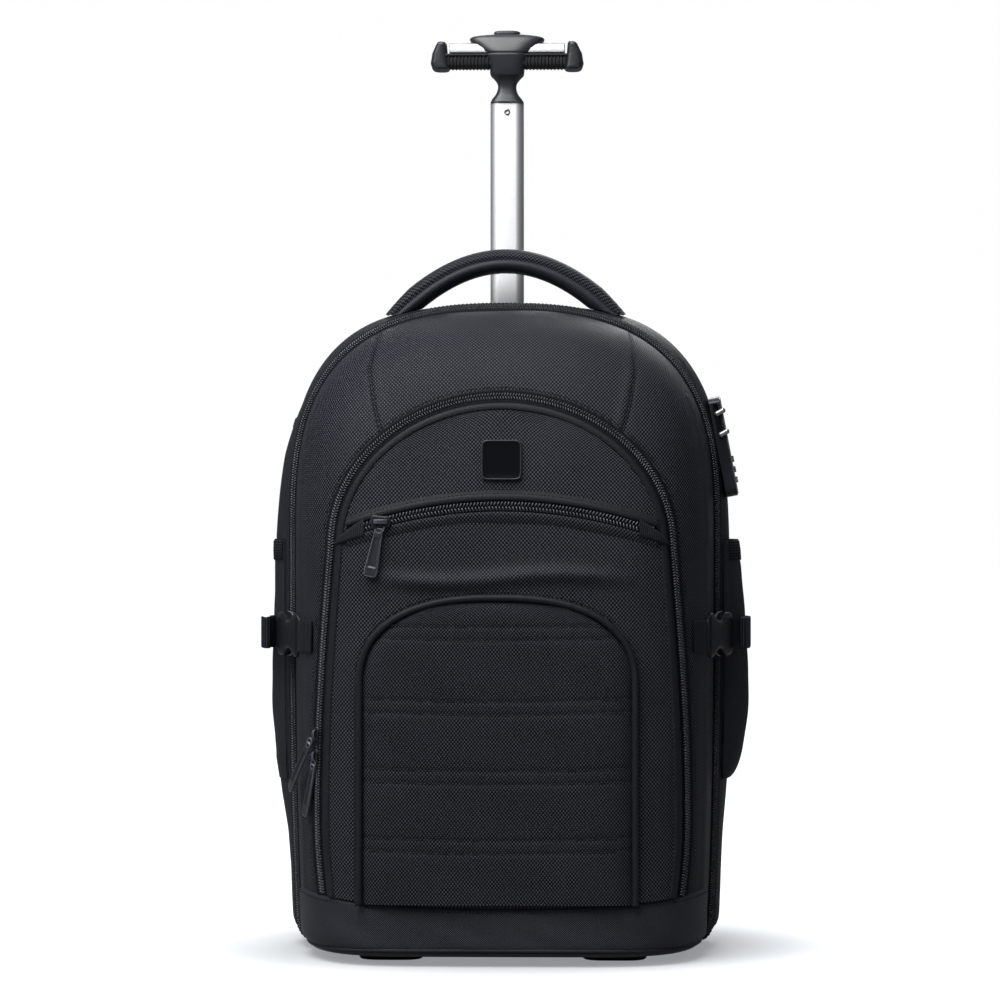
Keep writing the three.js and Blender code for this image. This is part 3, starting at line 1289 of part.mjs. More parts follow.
// Colours and finishes
const finish = (color, roughness, metalness = 0) => (
  new THREE.MeshStandardMaterial({ color, roughness, metalness })
);
const NYLON = () => finish(0x222326, 0.85);
const BINDING = () => finish(0x2b2c2f, 0.75);
const COIL = () => finish(0x141518, 0.45);
const HARD_BLACK = () => finish(0x17181a, 0.4);
const GUNMETAL = () => finish(0x1c1d20, 0.25, 0.9);
const ALUMINIUM = () => finish(0xc7c9cc, 0.35, 0.9);
const SOFT_RUBBER = () => finish(0x151517, 0.7);

const group = new THREE.Group();
function place(name, geometry, material) {
  const mesh = new THREE.Mesh(geometry, material);
  mesh.name = name;
  group.add(mesh);
}

const SIDES = { left: -1, right: 1 };

place('rear_shell', rearShell, NYLON());
place('front_shell', frontShell, NYLON());
place('main_zip', mainZip, COIL());
place('base_band', baseBand, BINDING());
place('base_tray', baseTray, HARD_BLACK());
place('front_pocket', frontPocket, NYLON());
place('front_zip', frontZip, COIL());
place('lower_pocket', lowerPocket, NYLON());
place('lower_piping', lowerPiping, BINDING());
place('pocket_zip', pocketZip, COIL());
place('pocket_slider', pocketSlider, GUNMETAL());
place('pocket_puller', pocketPuller, GUNMETAL());
place('badge', badge, GUNMETAL());
for (const row of FRONT_SLIDERS) {
  const parts = frontSliderParts(row);
  place(`front_slider_${row.name}`, parts.slider, GUNMETAL());
  place(`front_puller_${row.name}`, parts.puller, GUNMETAL());
}
place('main_slider_upper', mainSlider(LOCK_HEIGHT + UPPER_SLIDER_OVER_LOCK, true), GUNMETAL());
place('main_slider_lower', mainSlider(LOCK_HEIGHT + LOWER_SLIDER_OVER_LOCK, true), GUNMETAL());
place('side_toggle', sideToggle, HARD_BLACK());
place('lock_body', lockBody, HARD_BLACK());
DIAL_SHARES.forEach((k, i) => place(`lock_dial_${i + 1}`, lockDial(k), HARD_BLACK()));
place('carry_handle', carryHandle, NYLON());
place('back_pad', cut(backPad, channel, ...wheelCuts), NYLON());

for (const [name, side] of Object.entries(SIDES)) {
  place(`foot_${name}`, frontFoot(side), SOFT_RUBBER());
  const frame = buckleFrame(name, side);
  place(`strap_front_${name}`, frontStrap(side, frame), BINDING());
  place(`buckle_socket_${name}`, buckleSocket(frame), HARD_BLACK());
  place(`buckle_plug_${name}`, bucklePlug(frame), HARD_BLACK());
  place(`strap_rear_${name}`, rearStrap(name, side), BINDING());
  place(`side_pocket_${name}`, sidePocket(name, side), NYLON());
  place(`shoulder_strap_${name}`, shoulderStrap(side), NYLON());
  place(`strap_webbing_${name}`, harnessWebbing(side), BINDING());
  place(`wheel_housing_${name}`, wheelHousing(side), HARD_BLACK());
  place(`wheel_${name}`, wheel(side), SOFT_RUBBER());
  place(`axle_${name}`, axle(side), ALUMINIUM());
  place(`grip_sleeve_${name}`, gripSleeve(side), SOFT_RUBBER());
  place(`grip_cap_${name}`, gripCap(side), HARD_BLACK());
}

place('outer_tube', outerTube, ALUMINIUM());
place('middle_tube', middleTube, ALUMINIUM());
place('top_tube', topTube, ALUMINIUM());
place('tube_screw', tubeScrew, ALUMINIUM());
place('grip_core', gripCore, HARD_BLACK());
place('grip_bar', gripBar, ALUMINIUM());
place('release_button', releaseButton, HARD_BLACK());

// The origin is on the floor under the middle of the whole object.
const bounds = new THREE.Box3().setFromObject(group);
const middle = bounds.getCenter(V(0, 0, 0));
group.position.set(-middle.x, -middle.y, -bounds.min.z);
group.updateMatrixWorld(true);

export default group;
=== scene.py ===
import bmesh
import bpy
import numpy as np
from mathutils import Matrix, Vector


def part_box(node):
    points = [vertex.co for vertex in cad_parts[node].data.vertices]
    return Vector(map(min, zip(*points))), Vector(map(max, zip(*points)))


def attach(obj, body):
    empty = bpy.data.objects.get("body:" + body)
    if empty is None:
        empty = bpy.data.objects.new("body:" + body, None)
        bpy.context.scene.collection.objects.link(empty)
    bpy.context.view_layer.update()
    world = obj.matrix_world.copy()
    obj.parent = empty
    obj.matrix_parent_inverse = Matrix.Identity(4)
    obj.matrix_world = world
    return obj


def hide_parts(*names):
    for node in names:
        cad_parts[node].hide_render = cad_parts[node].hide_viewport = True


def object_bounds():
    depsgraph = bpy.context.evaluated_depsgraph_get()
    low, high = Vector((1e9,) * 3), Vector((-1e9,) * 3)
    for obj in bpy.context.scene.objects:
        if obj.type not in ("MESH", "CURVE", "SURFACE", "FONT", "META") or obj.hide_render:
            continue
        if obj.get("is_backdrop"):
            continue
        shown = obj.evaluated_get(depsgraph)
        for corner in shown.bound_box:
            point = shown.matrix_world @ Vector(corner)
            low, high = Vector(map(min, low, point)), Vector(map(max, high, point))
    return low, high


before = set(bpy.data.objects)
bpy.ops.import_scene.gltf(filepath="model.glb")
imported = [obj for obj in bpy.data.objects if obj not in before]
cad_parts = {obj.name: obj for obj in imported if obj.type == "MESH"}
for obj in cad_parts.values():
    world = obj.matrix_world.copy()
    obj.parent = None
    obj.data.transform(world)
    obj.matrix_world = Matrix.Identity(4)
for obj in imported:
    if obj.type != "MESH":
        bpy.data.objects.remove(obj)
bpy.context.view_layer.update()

# Camera: level, straight in front of the bag and a touch to its right, far enough away to flatten
# the perspective as a catalogue picture does.
scene = bpy.context.scene
scene.view_settings.view_transform = "Standard"
camera = bpy.data.objects.new("camera", bpy.data.cameras.new("camera"))
scene.collection.objects.link(camera)
camera.location = (0.0635, -2.599, 0.358)
camera.rotation_euler = (np.pi / 2, 0.0, np.radians(1.4))
camera.data.sensor_width = 36.0
camera.data.lens = 116.9
camera.data.shift_x = -0.005
scene.camera = camera

# Studio: a white room whose sides are darker than its front, four soft lamps, and a pale floor
# that runs back without a line. The floor glows for the camera, and its glow is dimmed in an oval
# round the bag: a painted shadow, added to the soft shadow the lamps cast.
ROOM_FRONT = (0.24, 0.24, 0.25, 1)
ROOM_SIDE = (0.11, 0.115, 0.13, 1)
ROOM_SEEN = (0.995, 0.995, 0.995, 1)
SHADOW_HALF_WIDTH, SHADOW_HALF_DEPTH = 0.2, 0.125


def fill(tree, node, values):
    """Each named input of a node set to a number or colour, or linked from a socket."""
    for label, value in values.items():
        if isinstance(value, bpy.types.NodeSocket):
            tree.links.new(value, node.inputs[label])
        else:
            node.inputs[label].default_value = value
    return node


def add(tree, kind, values, **settings):
    """New shader node of a kind, with its settings and inputs."""
    node = tree.nodes.new("ShaderNode" + kind)
    for label, value in settings.items():
        setattr(node, label, value)
    return fill(tree, node, values)


def ramp(tree, factor, low, high):
    """Colour that runs between two (position, colour) stops."""
    node = add(tree, "ValToRGB", {0: factor})
    for stop, (position, colour) in zip(node.color_ramp.elements, (low, high)):
        stop.position = position
        stop.color = colour
    return node.outputs[0]


def mixed(tree, share, a, b):
    """Colour between a and b by a share."""
    return add(tree, "Mix", {"Factor": share, "A": a, "B": b}, data_type="RGBA").outputs["Result"]


world = bpy.data.worlds.new("white_room")
scene.world = world
world.use_nodes = True
room = world.node_tree
room_split = add(room, "SeparateXYZ", {0: add(room, "TexCoord", {}).outputs["Generated"]})
room_side = add(room, "Math", {0: room_split.outputs["X"]}, operation="ABSOLUTE").outputs[0]
room_light = ramp(room, room_side, (0.25, ROOM_FRONT), (0.8, ROOM_SIDE))
room_seen = add(room, "LightPath", {}).outputs["Is Camera Ray"]
fill(room, room.nodes["Background"], {"Color": mixed(room, room_seen, room_light, ROOM_SEEN)})
for name, place, aim_height, size, power in (
    ("key_lamp", (-0.45, -1.0, 1.75), 0.42, 1.3, 46),
    ("fill_lamp", (-2.0, -1.2, 1.3), 0.3, 1.2, 12),
    ("top_lamp", (0.0, 0.1, 2.7), 0.3, 1.5, 8),
    ("back_lamp", (0.4, 2.2, 1.9), 0.3, 1.4, 24),
):
    light = bpy.data.lights.new(name, "AREA")
    light.size = size
    light.energy = power
    holder = bpy.data.objects.new(name, light)
    scene.collection.objects.link(holder)
    holder.location = place
    way = holder.location.copy()
    way.z -= aim_height
    holder.rotation_euler = way.to_track_quat("Z", "Y").to_euler()
floor_mesh = bpy.data.meshes.new("floor")
floor_mesh.from_pydata([(-9, -4, 0), (9, -4, 0), (9, 14, 0), (-9, 14, 0)], [], [(0, 1, 2, 3)])
floor = bpy.data.objects.new("floor", floor_mesh)
scene.collection.objects.link(floor)
paper = bpy.data.materials.new("paper")
paper.use_nodes = True
paper_tree = paper.node_tree
paper_grain = add(paper_tree, "TexNoise", {"Scale": 40}).outputs[0]
paper_seen = add(paper_tree, "LightPath", {}).outputs["Is Camera Ray"]
paper_tone = ramp(paper_tree, paper_grain, (0, (0.38, 0.39, 0.4, 1)), (1, (0.41, 0.42, 0.43, 1)))
# Painted shadow: the floor's glow, seen by the camera only, fades from full far off down to 0.3 in an oval
# round the bag.
paper_oval = add(paper_tree, "VectorMath", {
    0: add(paper_tree, "TexCoord", {}).outputs["Object"],
    1: (1 / SHADOW_HALF_WIDTH, 1 / SHADOW_HALF_DEPTH, 0),
}, operation="MULTIPLY")
paper_far = add(paper_tree, "VectorMath", {0: paper_oval.outputs[0]}, operation="LENGTH").outputs["Value"]
painted_shadow_fade = add(paper_tree, "MapRange", {
    "Value": paper_far, "From Min": 0.8, "From Max": 1.75, "To Min": 0.3, "To Max": 1.0,
}, interpolation_type="SMOOTHSTEP").outputs[0]
glow_with_painted_shadow = add(paper_tree, "Math", {0: paper_seen, 1: painted_shadow_fade}, operation="MULTIPLY").outputs[0]
fill(paper_tree, paper_tree.nodes["Principled BSDF"], {
    "Base Color": mixed(paper_tree, paper_seen, (0.22, 0.22, 0.22, 1), paper_tone),
    "Roughness": 0.9, "Emission Color": (0.93, 0.96, 1, 1), "Emission Strength": glow_with_painted_shadow,
})
floor_mesh.materials.append(paper)
floor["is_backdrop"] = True

# Rear shell: the deep half of the bag, plain coated nylon over foam, lofted from the zip's outline
# to the flat back with a rounded edge. Sewn to the front half by the main zip.
SIDES = (("left", -1), ("right", 1))
SHOULDER = 330.0
FOOT = 12.0
ZIP_EDGE = (166.0, 508.5, 2.6, 3.0)
REAR_EDGE = (178.0, 515.0, 3.5, 2.6)
REAR_START = 0.5
REAR_DEPTH = 63.6
BACK_CORNER = 24.0
DEPTHS = [0, 0.16, 0.36, 0.56, 0.74, 0.88, 0.965, 1]
SWELLS = [0.5, 0.78, 0.95, 1, 1, 1, 1, 1]
INSETS = [0, 0, 0, 0, 0.06, 0.28, 0.6, 1]
PUFF_HEIGHTS = [62, 92, 122, 150, 330, 395, 435]
PUFFS = [0, 1.5, 5.5, 8, 8, 5, 0]
RIGHT_PUFF = 0.35
BELLY_Y, BELLY_HALF = 32, 24
SIDE_START = 100
FOOT_TAPER, FOOT_TUCK = 6, 7.8
LOCK_Z, LOCK_DENT = 425, 5.5
HOUSING_LAP = 0.0006
TUBE_Y = 76.0
tube_low, tube_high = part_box("top_tube")
SHIFT = (tube_low[1] + tube_high[1]) / 2 - TUBE_Y / 1000


def new_group(name, inputs, outputs):
    """Empty shader group with named sockets: v a vector, c a colour, f a value."""
    kinds = {"v": "NodeSocketVector", "c": "NodeSocketColor", "f": "NodeSocketFloat"}
    tree = bpy.data.node_groups.new(name, "ShaderNodeTree")
    for label, kind, value in inputs:
        socket = tree.interface.new_socket(name=label, in_out="INPUT", socket_type=kinds[kind])
        if value is not None:
            socket.default_value = value
    for label, kind in outputs:
        tree.interface.new_socket(name=label, in_out="OUTPUT", socket_type=kinds[kind])
    return tree, tree.nodes.new("NodeGroupInput").outputs, tree.nodes.new("NodeGroupOutput").inputs


def work(tree, kind, *terms):
    """Result of one sum on sockets or numbers."""
    return add(tree, "Math", dict(enumerate(terms)), operation=kind).outputs[0]


def noise(tree, vector, scale, detail=2.0):
    """Soft random value at a point, finer with a higher scale."""
    return add(tree, "TexNoise", {"Vector": vector, "Scale": scale, "Detail": detail}).outputs["Fac"]


def wave(tree, run, length):
    """Cosine of a run, one full wave per length."""
    return work(tree, "COSINE", work(tree, "DIVIDE", work(tree, "MULTIPLY", run, 2 * np.pi), length))


# Weave group: bright threads where two cosines meet, in a staggered brick
weave, into, out = new_group(
    "weave",
    [("Vector", "v", None), ("Cell", "f", 0.0028), ("Rise", "f", 0.0032), ("Patches", "f", 0.3),
     ("Gap", "c", (0.01, 0.01, 0.01, 1)), ("Thread", "c", (0.05, 0.05, 0.05, 1))],
    [("Color", "c"), ("Height", "f")],
)
split = add(weave, "SeparateXYZ", {0: into["Vector"]}).outputs
dots = work(weave, "MULTIPLY", wave(weave, split["X"], into["Cell"]), wave(weave, split["Y"], into["Rise"]))
thread = add(weave, "MapRange", {"Value": dots, "From Min": -0.35, "From Max": 0.85},
             interpolation_type="SMOOTHSTEP").outputs[0]
patch = work(weave, "MULTIPLY", noise(weave, into["Vector"], 16.0, 3.0), into["Patches"])
yarn = work(weave, "MULTIPLY", noise(weave, into["Vector"], 650.0), 0.5)
bright = work(weave, "MULTIPLY", thread, work(weave, "SUBTRACT", work(weave, "SUBTRACT", 1.3, patch), yarn))
weave.links.new(mixed(weave, bright, into["Gap"], into["Thread"]), out["Color"])
weave.links.new(thread, out["Height"])

# Ribs group: bars across a band, broken by fine cross threads
CROSS_THREAD = 0.0011
ribs, into, out = new_group(
    "ribs",
    [("Vector", "v", None), ("Pitch", "f", 0.002), ("Gap", "c", (0.01, 0.01, 0.01, 1)),
     ("Thread", "c", (0.05, 0.05, 0.05, 1))],
    [("Color", "c"), ("Height", "f")],
)
split = add(ribs, "SeparateXYZ", {0: into["Vector"]}).outputs
bar = work(ribs, "MULTIPLY_ADD", wave(ribs, split["Y"], into["Pitch"]), 0.5, 0.5)
fine = work(ribs, "MULTIPLY_ADD", wave(ribs, split["X"], CROSS_THREAD), 0.22, 0.78)
bright = work(ribs, "MULTIPLY", bar, fine)
ribs.links.new(mixed(ribs, bright, into["Gap"], into["Thread"]), out["Color"])
ribs.links.new(bright, out["Height"])

# Grain group: fine pebbling, slow colour drift and pale sharp edges for mouldings and thread; the pale edges
# are partly rubbed wear and partly painted highlight where edges catch the light
grain, into, out = new_group(
    "grain",
    [("Vector", "v", None), ("Scale", "f", 900.0), ("Body", "c", (0.01, 0.01, 0.01, 1)),
     ("Edge Wear And Highlight", "c", (0.06, 0.06, 0.06, 1)), ("Edge Amount", "f", 0.3)],
    [("Color", "c"), ("Height", "f")],
)
fine = noise(grain, into["Vector"], into["Scale"], 3.0)
drift = noise(grain, into["Vector"], 22.0, 3.0)
# Painted highlight and wear: sharp convex edges, found by their pointiness, are lightened towards the edge
# tone, broken up by the slow drift.
edge = add(grain, "NewGeometry", {}).outputs["Pointiness"]
worn_and_lit_edges = add(grain, "MapRange", {"Value": edge, "From Min": 0.52, "From Max": 0.62}).outputs[0]
worn_and_lit_edges = work(grain, "MULTIPLY", worn_and_lit_edges, work(grain, "MULTIPLY", drift, into["Edge Amount"]))
bright = work(grain, "ADD", worn_and_lit_edges, work(grain, "MULTIPLY", fine, 0.12))
grain.links.new(mixed(grain, bright, into["Body"], into["Edge Wear And Highlight"]), out["Color"])
grain.links.new(fine, out["Height"])


def dressed(name, slot, group, values, rough, bump, metal=0.0, specular=0.5, coat=0.0, space="UV"):
    """Material whose colour and bump come from a group set with its own values, on a plain shader."""
    material = bpy.data.materials.new(name)
    material.use_nodes = True
    tree = material.node_tree
    pattern = add(tree, "Group", {}, node_tree=group)
    fill(tree, pattern, {"Vector": add(tree, "TexCoord", {}).outputs[space], **values})
    height = pattern.outputs["Height"]
    relief = add(tree, "Bump", {"Distance": bump, "Strength": 0.7, "Height": height})
    smooth = max(0.05, rough - 0.08)
    gloss = add(tree, "MapRange", {"Value": height, "To Min": rough + 0.08, "To Max": smooth})
    fill(tree, tree.nodes["Principled BSDF"], {
        "Base Color": pattern.outputs["Color"], "Normal": relief.outputs["Normal"],
        "Roughness": gloss.outputs[0], "Metallic": metal, "Specular IOR Level": specular, "Coat Weight": coat,
    })
    return material


def grey(level, blue=1.36):
    """Slightly blue grey as a colour of four numbers."""
    return (level, level * (0.85 + 0.15 * blue), level * blue, 1.0)


def woven(name, slot, cell, rise, gap, thread, patches, rough, bump, specular):
    """Woven cloth: spacing of its threads across and up, tones of gap and thread, how patchy it is."""
    values = {"Cell": cell, "Rise": rise, "Gap": grey(gap), "Thread": grey(thread), "Patches": patches}
    return dressed(name, slot, weave, values, rough, bump, specular=specular)


def ribbed(name, slot, pitch, gap, thread, rough, bump, specular):
    """Ribbed band: spacing of its bars, tones of gap and thread."""
    values = {"Pitch": pitch, "Gap": grey(gap), "Thread": grey(thread)}
    return dressed(name, slot, ribs, values, rough, bump, specular=specular)


def hard(name, slot, scale, body, edge_wear_and_highlight, edge_amount, rough, bump, blue=(1.36, 1.36), **shine):
    """Moulded, cast or spun: fineness of its grain, tones of its body and of its pale sharp edges (partly
    wear, partly painted highlight), and how strong those edges are.
    """
    values = {"Scale": scale, "Body": grey(body, blue[0]), "Edge Wear And Highlight": grey(edge_wear_and_highlight, blue[1]), "Edge Amount": edge_amount}
    return dressed(name, slot, grain, values, rough, bump, space="Object", **shine)


def settle(name, mesh, material, body, instead_of):
    """Object for a mesh, smooth, with its finish, on its body, in place of a CAD piece."""
    mesh.shade_smooth()
    mesh.materials.append(material)
    piece = bpy.data.objects.new(name, mesh)
    scene.collection.objects.link(piece)
    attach(piece, body)
    if instead_of:
        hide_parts(instead_of)
    return piece


def put(name, points, faces, material, uv=None, body="bag", slot=None, instead_of=None):
    """Piece from points in design millimetres, set into the frame."""
    points = np.asarray(points, float).reshape(-1, 3)
    mesh = bpy.data.meshes.new(name)
    mesh.from_pydata((points * 0.001 + (0.0, SHIFT, 0.0)).tolist(), [], faces)
    if uv is not None:
        layer = mesh.uv_layers.new(name="cloth")
        corner = np.empty(len(mesh.loops), np.int32)
        mesh.loops.foreach_get("vertex_index", corner)
        layer.uv.foreach_set("vector", uv.reshape(-1, 2)[corner].astype(np.float32).ravel())
    return settle(name, mesh, material, body, instead_of)


def places(x, y, z):
    """Points from their three coordinates, each an array or one number for all."""
    return np.stack(np.broadcast_arrays(x, y, z), -1)


def unit(way):
    """Ways of length one."""
    return way / np.linalg.norm(way, axis=-1, keepdims=True)


def ways(path):
    """Way of length one along a path at each of its points."""
    return unit(np.gradient(path, axis=0))


def turns(count):
    """Angles of one full turn, evenly spaced."""
    return np.linspace(0, 2 * np.pi, count, endpoint=False)


def spread(count):
    """Shares from -1 to 1, closer together towards both ends."""
    return np.sin(np.linspace(-np.pi / 2, np.pi / 2, count))


def climb(low, high, top, straight, arched):
    """Heights in even steps to a shoulder, then closer and closer together up to the top."""
    over = high + (top - high) * np.sin(np.linspace(0, np.pi / 2, arched))
    return np.concatenate([np.linspace(low, high, straight, endpoint=False), over])


def signed(value, power):
    """Size of a value raised to a power, its sign kept."""
    return np.sign(value) * np.abs(value) ** power


def lengths(points, axis):
    """Distance run along one way of a grid, in metres, counted from its middle."""
    run = np.cumsum(np.linalg.norm(np.diff(points, axis=axis), axis=-1), axis=axis)
    run = np.concatenate([0 * np.take(run, [0], axis=axis), run], axis=axis)
    return (run - np.take(run, [run.shape[axis] // 2], axis=axis)) * 0.001


def grid_faces(rows, columns, wrap=False, capped=False):
    """Quads of a grid; with wrap the last column joins the first, capped closes both ends as well."""
    ids = np.arange(rows * columns).reshape(rows, columns)
    ends = [tuple(ids[0, ::-1].tolist()), tuple(ids[-1].tolist())] if capped else []
    if wrap:
        ids = np.concatenate([ids, ids[:, :1]], axis=1)
    quads = np.stack([ids[:-1, :-1], ids[:-1, 1:], ids[1:, 1:], ids[1:, :-1]], -1)
    return quads.reshape(-1, 4).tolist() + ends


def skin(name, points, material, wrap=False, **where):
    """Grid of points as one cloth; its UV is the distance across and along, so threads keep their size."""
    uv = np.stack([lengths(points, 1), lengths(points, 0)], -1)
    return put(name, points, grid_faces(*points.shape[:2], wrap), material, uv=uv, **where)


def half_at(edge, z):
    """Half width at a height: full at the shoulder, a little less at the foot, arched over above it."""
    half, top, side, crown = edge
    low = np.clip((SHOULDER - z) / (SHOULDER - FOOT), 0, 1)
    foot = np.clip((25 - z) / 13, 0, 1)
    rise = np.clip((z - SHOULDER) / (top - SHOULDER), 0, 1)
    below = half - FOOT_TAPER * low ** 3 - FOOT_TUCK * (1 - np.sqrt(1 - 0.9 * foot ** 2))
    return below * (1 - rise ** crown) ** (1 / side)


def mirrored(low_x, low_z, over_x, over_z):
    """Outline from the left foot over the arch to the right foot, from its left side and its arch."""
    return np.concatenate([-low_x, over_x, low_x[::-1]]), np.concatenate([low_z, over_z, low_z[::-1]])


def edge_line(edge, sides=70, arch=130):
    """The bag's outline as x and z."""
    z = np.linspace(FOOT, SHOULDER, sides, endpoint=False)
    angle = np.linspace(0, np.pi, arch + 1)
    over_x = -edge[0] * signed(np.cos(angle), 2 / edge[2])
    over_z = SHOULDER + (edge[1] - SHOULDER) * np.abs(np.sin(angle)) ** (2 / edge[3])
    return mirrored(half_at(edge, z), z, over_x, over_z)


def rear_edge(y):
    """Outline of the rear shell at a depth: the zip's outline swells into the back's, then rounds in."""
    share = np.clip((y - REAR_START) / REAR_DEPTH, 0, 1)
    swell, inset = np.interp(share, DEPTHS, SWELLS), np.interp(share, DEPTHS, INSETS) * BACK_CORNER
    edge = np.array(ZIP_EDGE)[:, None] * (1 - swell) + np.array(REAR_EDGE)[:, None] * swell
    edge[:2] -= inset
    return edge


def belly(y):
    """How full the rear shell's side is at a depth: full in its middle, flat at both rims."""
    return np.exp(-((y - BELLY_Y) / BELLY_HALF) ** 4)


def opened(piece, low, high):
    """Clean rectangular opening: the mesh is split along a box's six sides and the faces inside go."""
    shape = bmesh.new()
    shape.from_mesh(piece.data)
    for axis in range(3):
        for corner in (low, high):
            normal = [0.0, 0.0, 0.0]
            normal[axis] = 1.0
            near = [face for face in shape.faces
                    if all(max(vert.co[k] for vert in face.verts) > low[k] for k in range(3))
                    and all(min(vert.co[k] for vert in face.verts) < high[k] for k in range(3))]
            edges = {edge for face in near for edge in face.edges}
            verts = {vert for face in near for vert in face.verts}
            geom = [*verts, *edges, *near]
            bmesh.ops.bisect_plane(shape, geom=geom, plane_co=list(corner), plane_no=normal)
    inside = [face for face in shape.faces
              if all(low[k] < face.calc_center_median()[k] < high[k] for k in range(3))]
    bmesh.ops.delete(shape, geom=inside, context="FACES")
    shape.to_mesh(piece.data)
    shape.free()


def wheel_recess(piece):
    """Both wheel housings' places cut out of a cloth that they are riveted into."""
    for label, side in SIDES:
        low, high = (np.array(corner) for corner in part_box("wheel_housing_" + label))
        opened(piece, low + HOUSING_LAP, high - HOUSING_LAP)


plain_nylon = woven("plain_nylon", "nylon", 0.0011, 0.0011, 0.008, 0.042, 0.4, 0.46, 0.00012, 0.16)
rear_depths = np.concatenate([
    np.linspace(REAR_START, 47, 24, endpoint=False), REAR_START + REAR_DEPTH * np.linspace(0.73, 1, 22),
])
rear_rows = []
for depth in rear_depths:
    x, z = edge_line(rear_edge(np.array([depth]))[:, 0])
    rear_rows.append(places(x, depth, z))
x, y, z = rear_rows[-1].T
rear_rows += [places(x * share, y, SHOULDER + (z - SHOULDER) * share) for share in (0.97, 0.8, 0.5, 0.0)]
x, y, z = np.moveaxis(np.array(rear_rows), -1, 0)
rear_puff = np.interp(z, PUFF_HEIGHTS, PUFFS) * belly(y)
rear_fold = (np.where(x < -SIDE_START, rear_puff, RIGHT_PUFF * rear_puff)
             + 0.5 * np.sin(z / 31 + y / 14) * np.sin(z / 83))
x = x + np.sign(x) * rear_fold * (np.abs(x) > SIDE_START)
lock_dent = np.exp(-((z - LOCK_Z) / 42) ** 4) * np.exp(-(y / 14) ** 2)
x = x - LOCK_DENT * lock_dent * (x > SIDE_START)
wheel_recess(skin("rear_shell_cloth", places(x, y, z), plain_nylon, wrap=True, instead_of="rear_shell"))

# Front shell: the domed front half in ballistic nylon over foam, with a top panel sewn in between
# two curved seams. Its rim is bound and zipped to the rear shell.
FRONT_RIM = -10.5
FRONT_DEPTH = 103.0
TOP_RUN = 178.5
TOP_SEAM_Z = (404.0, 411.8, 432.8, 458.5, 479.5, 490.0)
TOP_SEAM_X = {
    "left": (93.0, 95.0, 100.5, 105.0, 102.0, 99.5),
    "right": (91.0, 93.5, 99.5, 104.0, 103.0, 100.5),
}


def front_y(x, z):
    """Depth of the front: a flat-fronted superellipse dome that gets shallower towards the top."""
    rise = np.clip((z - SHOULDER) / TOP_RUN, 0, 1)
    high = np.clip((z - 290) / 218.5, 0, 1)
    share = (np.abs(x) / half_at(ZIP_EDGE, np.minimum(z, SHOULDER))) ** 2.6 + rise ** 3
    return FRONT_RIM - FRONT_DEPTH * (1 - 0.28 * high ** 2) * np.sqrt(np.clip(1 - share ** 2.2, 0, 1))


def front_out(x, z):
    """Way out of the front at a point, from the slope of its depth."""
    step = 0.6
    slope_x = (front_y(x + step, z) - front_y(x - step, z)) / (2 * step)
    slope_z = (front_y(x, z + step) - front_y(x, z - step)) / (2 * step)
    return unit(places(slope_x, -1.0, slope_z))


def on_front(x, z, lift=0.0):
    """Point over the front at a lift along the way out."""
    return places(x, front_y(x, z), z) + front_out(x, z) * np.asarray(lift, float)[..., None]


ballistic_nylon = woven("ballistic_nylon", "nylon", 0.0028, 0.0032, 0.0018, 0.068, 0.35, 0.45, 0.0004, 0.1)
z = climb(FOOT, SHOULDER, SHOULDER + TOP_RUN, 150, 120)[:, None]
c = spread(231)
x = c * half_at(ZIP_EDGE, z)
seam_x = np.where(x < 0, *(np.interp(z, TOP_SEAM_Z, TOP_SEAM_X[label]) for label, side in SIDES))
seam_off = (np.abs(x) - seam_x) * (z > TOP_SEAM_Z[0])
seam_dent = np.exp(-(seam_off / 1.5) ** 2) - 0.9 * np.exp(-((seam_off + 5) / 4) ** 2)
front_fold = (0.7 * np.sin(x / 19 + z / 27) * np.sin(z / 34 - x / 55)
              - 0.9 * seam_dent * (z > TOP_SEAM_Z[0]))
front_ridge = 1.2 * np.exp(-((np.abs(c) - 0.962) / 0.012) ** 2) * (z < 440)
front_grid = on_front(x, z, (front_fold + front_ridge) * (1 - np.abs(c) ** 24))
front_under = front_grid[:1].copy()
front_under[..., 1] = FRONT_RIM
front_grid = np.concatenate([front_under, front_grid])
skin("front_shell_cloth", front_grid, ballistic_nylon, instead_of="front_shell")

# Main zip: a ribbed polyester tape with a coil of black nylon teeth, sewn between the two shells
# from one foot of the bag over its top to the other.
TAPE_Y = [-12.5, -11.6, -11.2, -10.2, -8.6, -6.4, -4.0, -1.0, 3.0, 7.0, 9.0]
TAPE_LIFT = [-1.6, -0.2, 0.8, 2.0, 3.4, 5.0, 6.2, 7.0, 7.3, 5.0, 2.0]
SEAM_ROWS = (("seam", 0.0, -0.5, 1.3, 1.5, 0.5), ("stitches", -2.8, 1.2, 3.1, 2.0, 0.3))
BLOCK = ((-1, -1), (1, -1), (1, 1), (-1, 1))
BLOCK_FACES = [(0, 3, 2, 1), (4, 5, 6, 7), (0, 1, 5, 4), (1, 2, 6, 5), (2, 3, 7, 6), (3, 0, 4, 7)]


def frames_along(points, out_way, pitch):
    """Places a pitch apart on a path, with the way along, across and out at each."""
    run = np.concatenate([[0], np.cumsum(np.linalg.norm(np.diff(points, axis=0), axis=1))])
    at = np.arange(pitch / 2, run[-1], pitch)

    def read(values, ahead=0.0):
        """Values on the path at each place, or a little ahead of it."""
        return places(*(np.interp(at + ahead, run, values[:, k]) for k in range(3)))

    along = unit(read(points, 0.5) - read(points, -0.5))
    across = unit(np.cross(read(out_way), along))
    return read(points), along, across, np.cross(along, across)


def front_frames(x, z, lift, pitch):
    """Places a pitch apart on a line over the front."""
    return frames_along(on_front(x, z, lift), front_out(x, z), pitch)


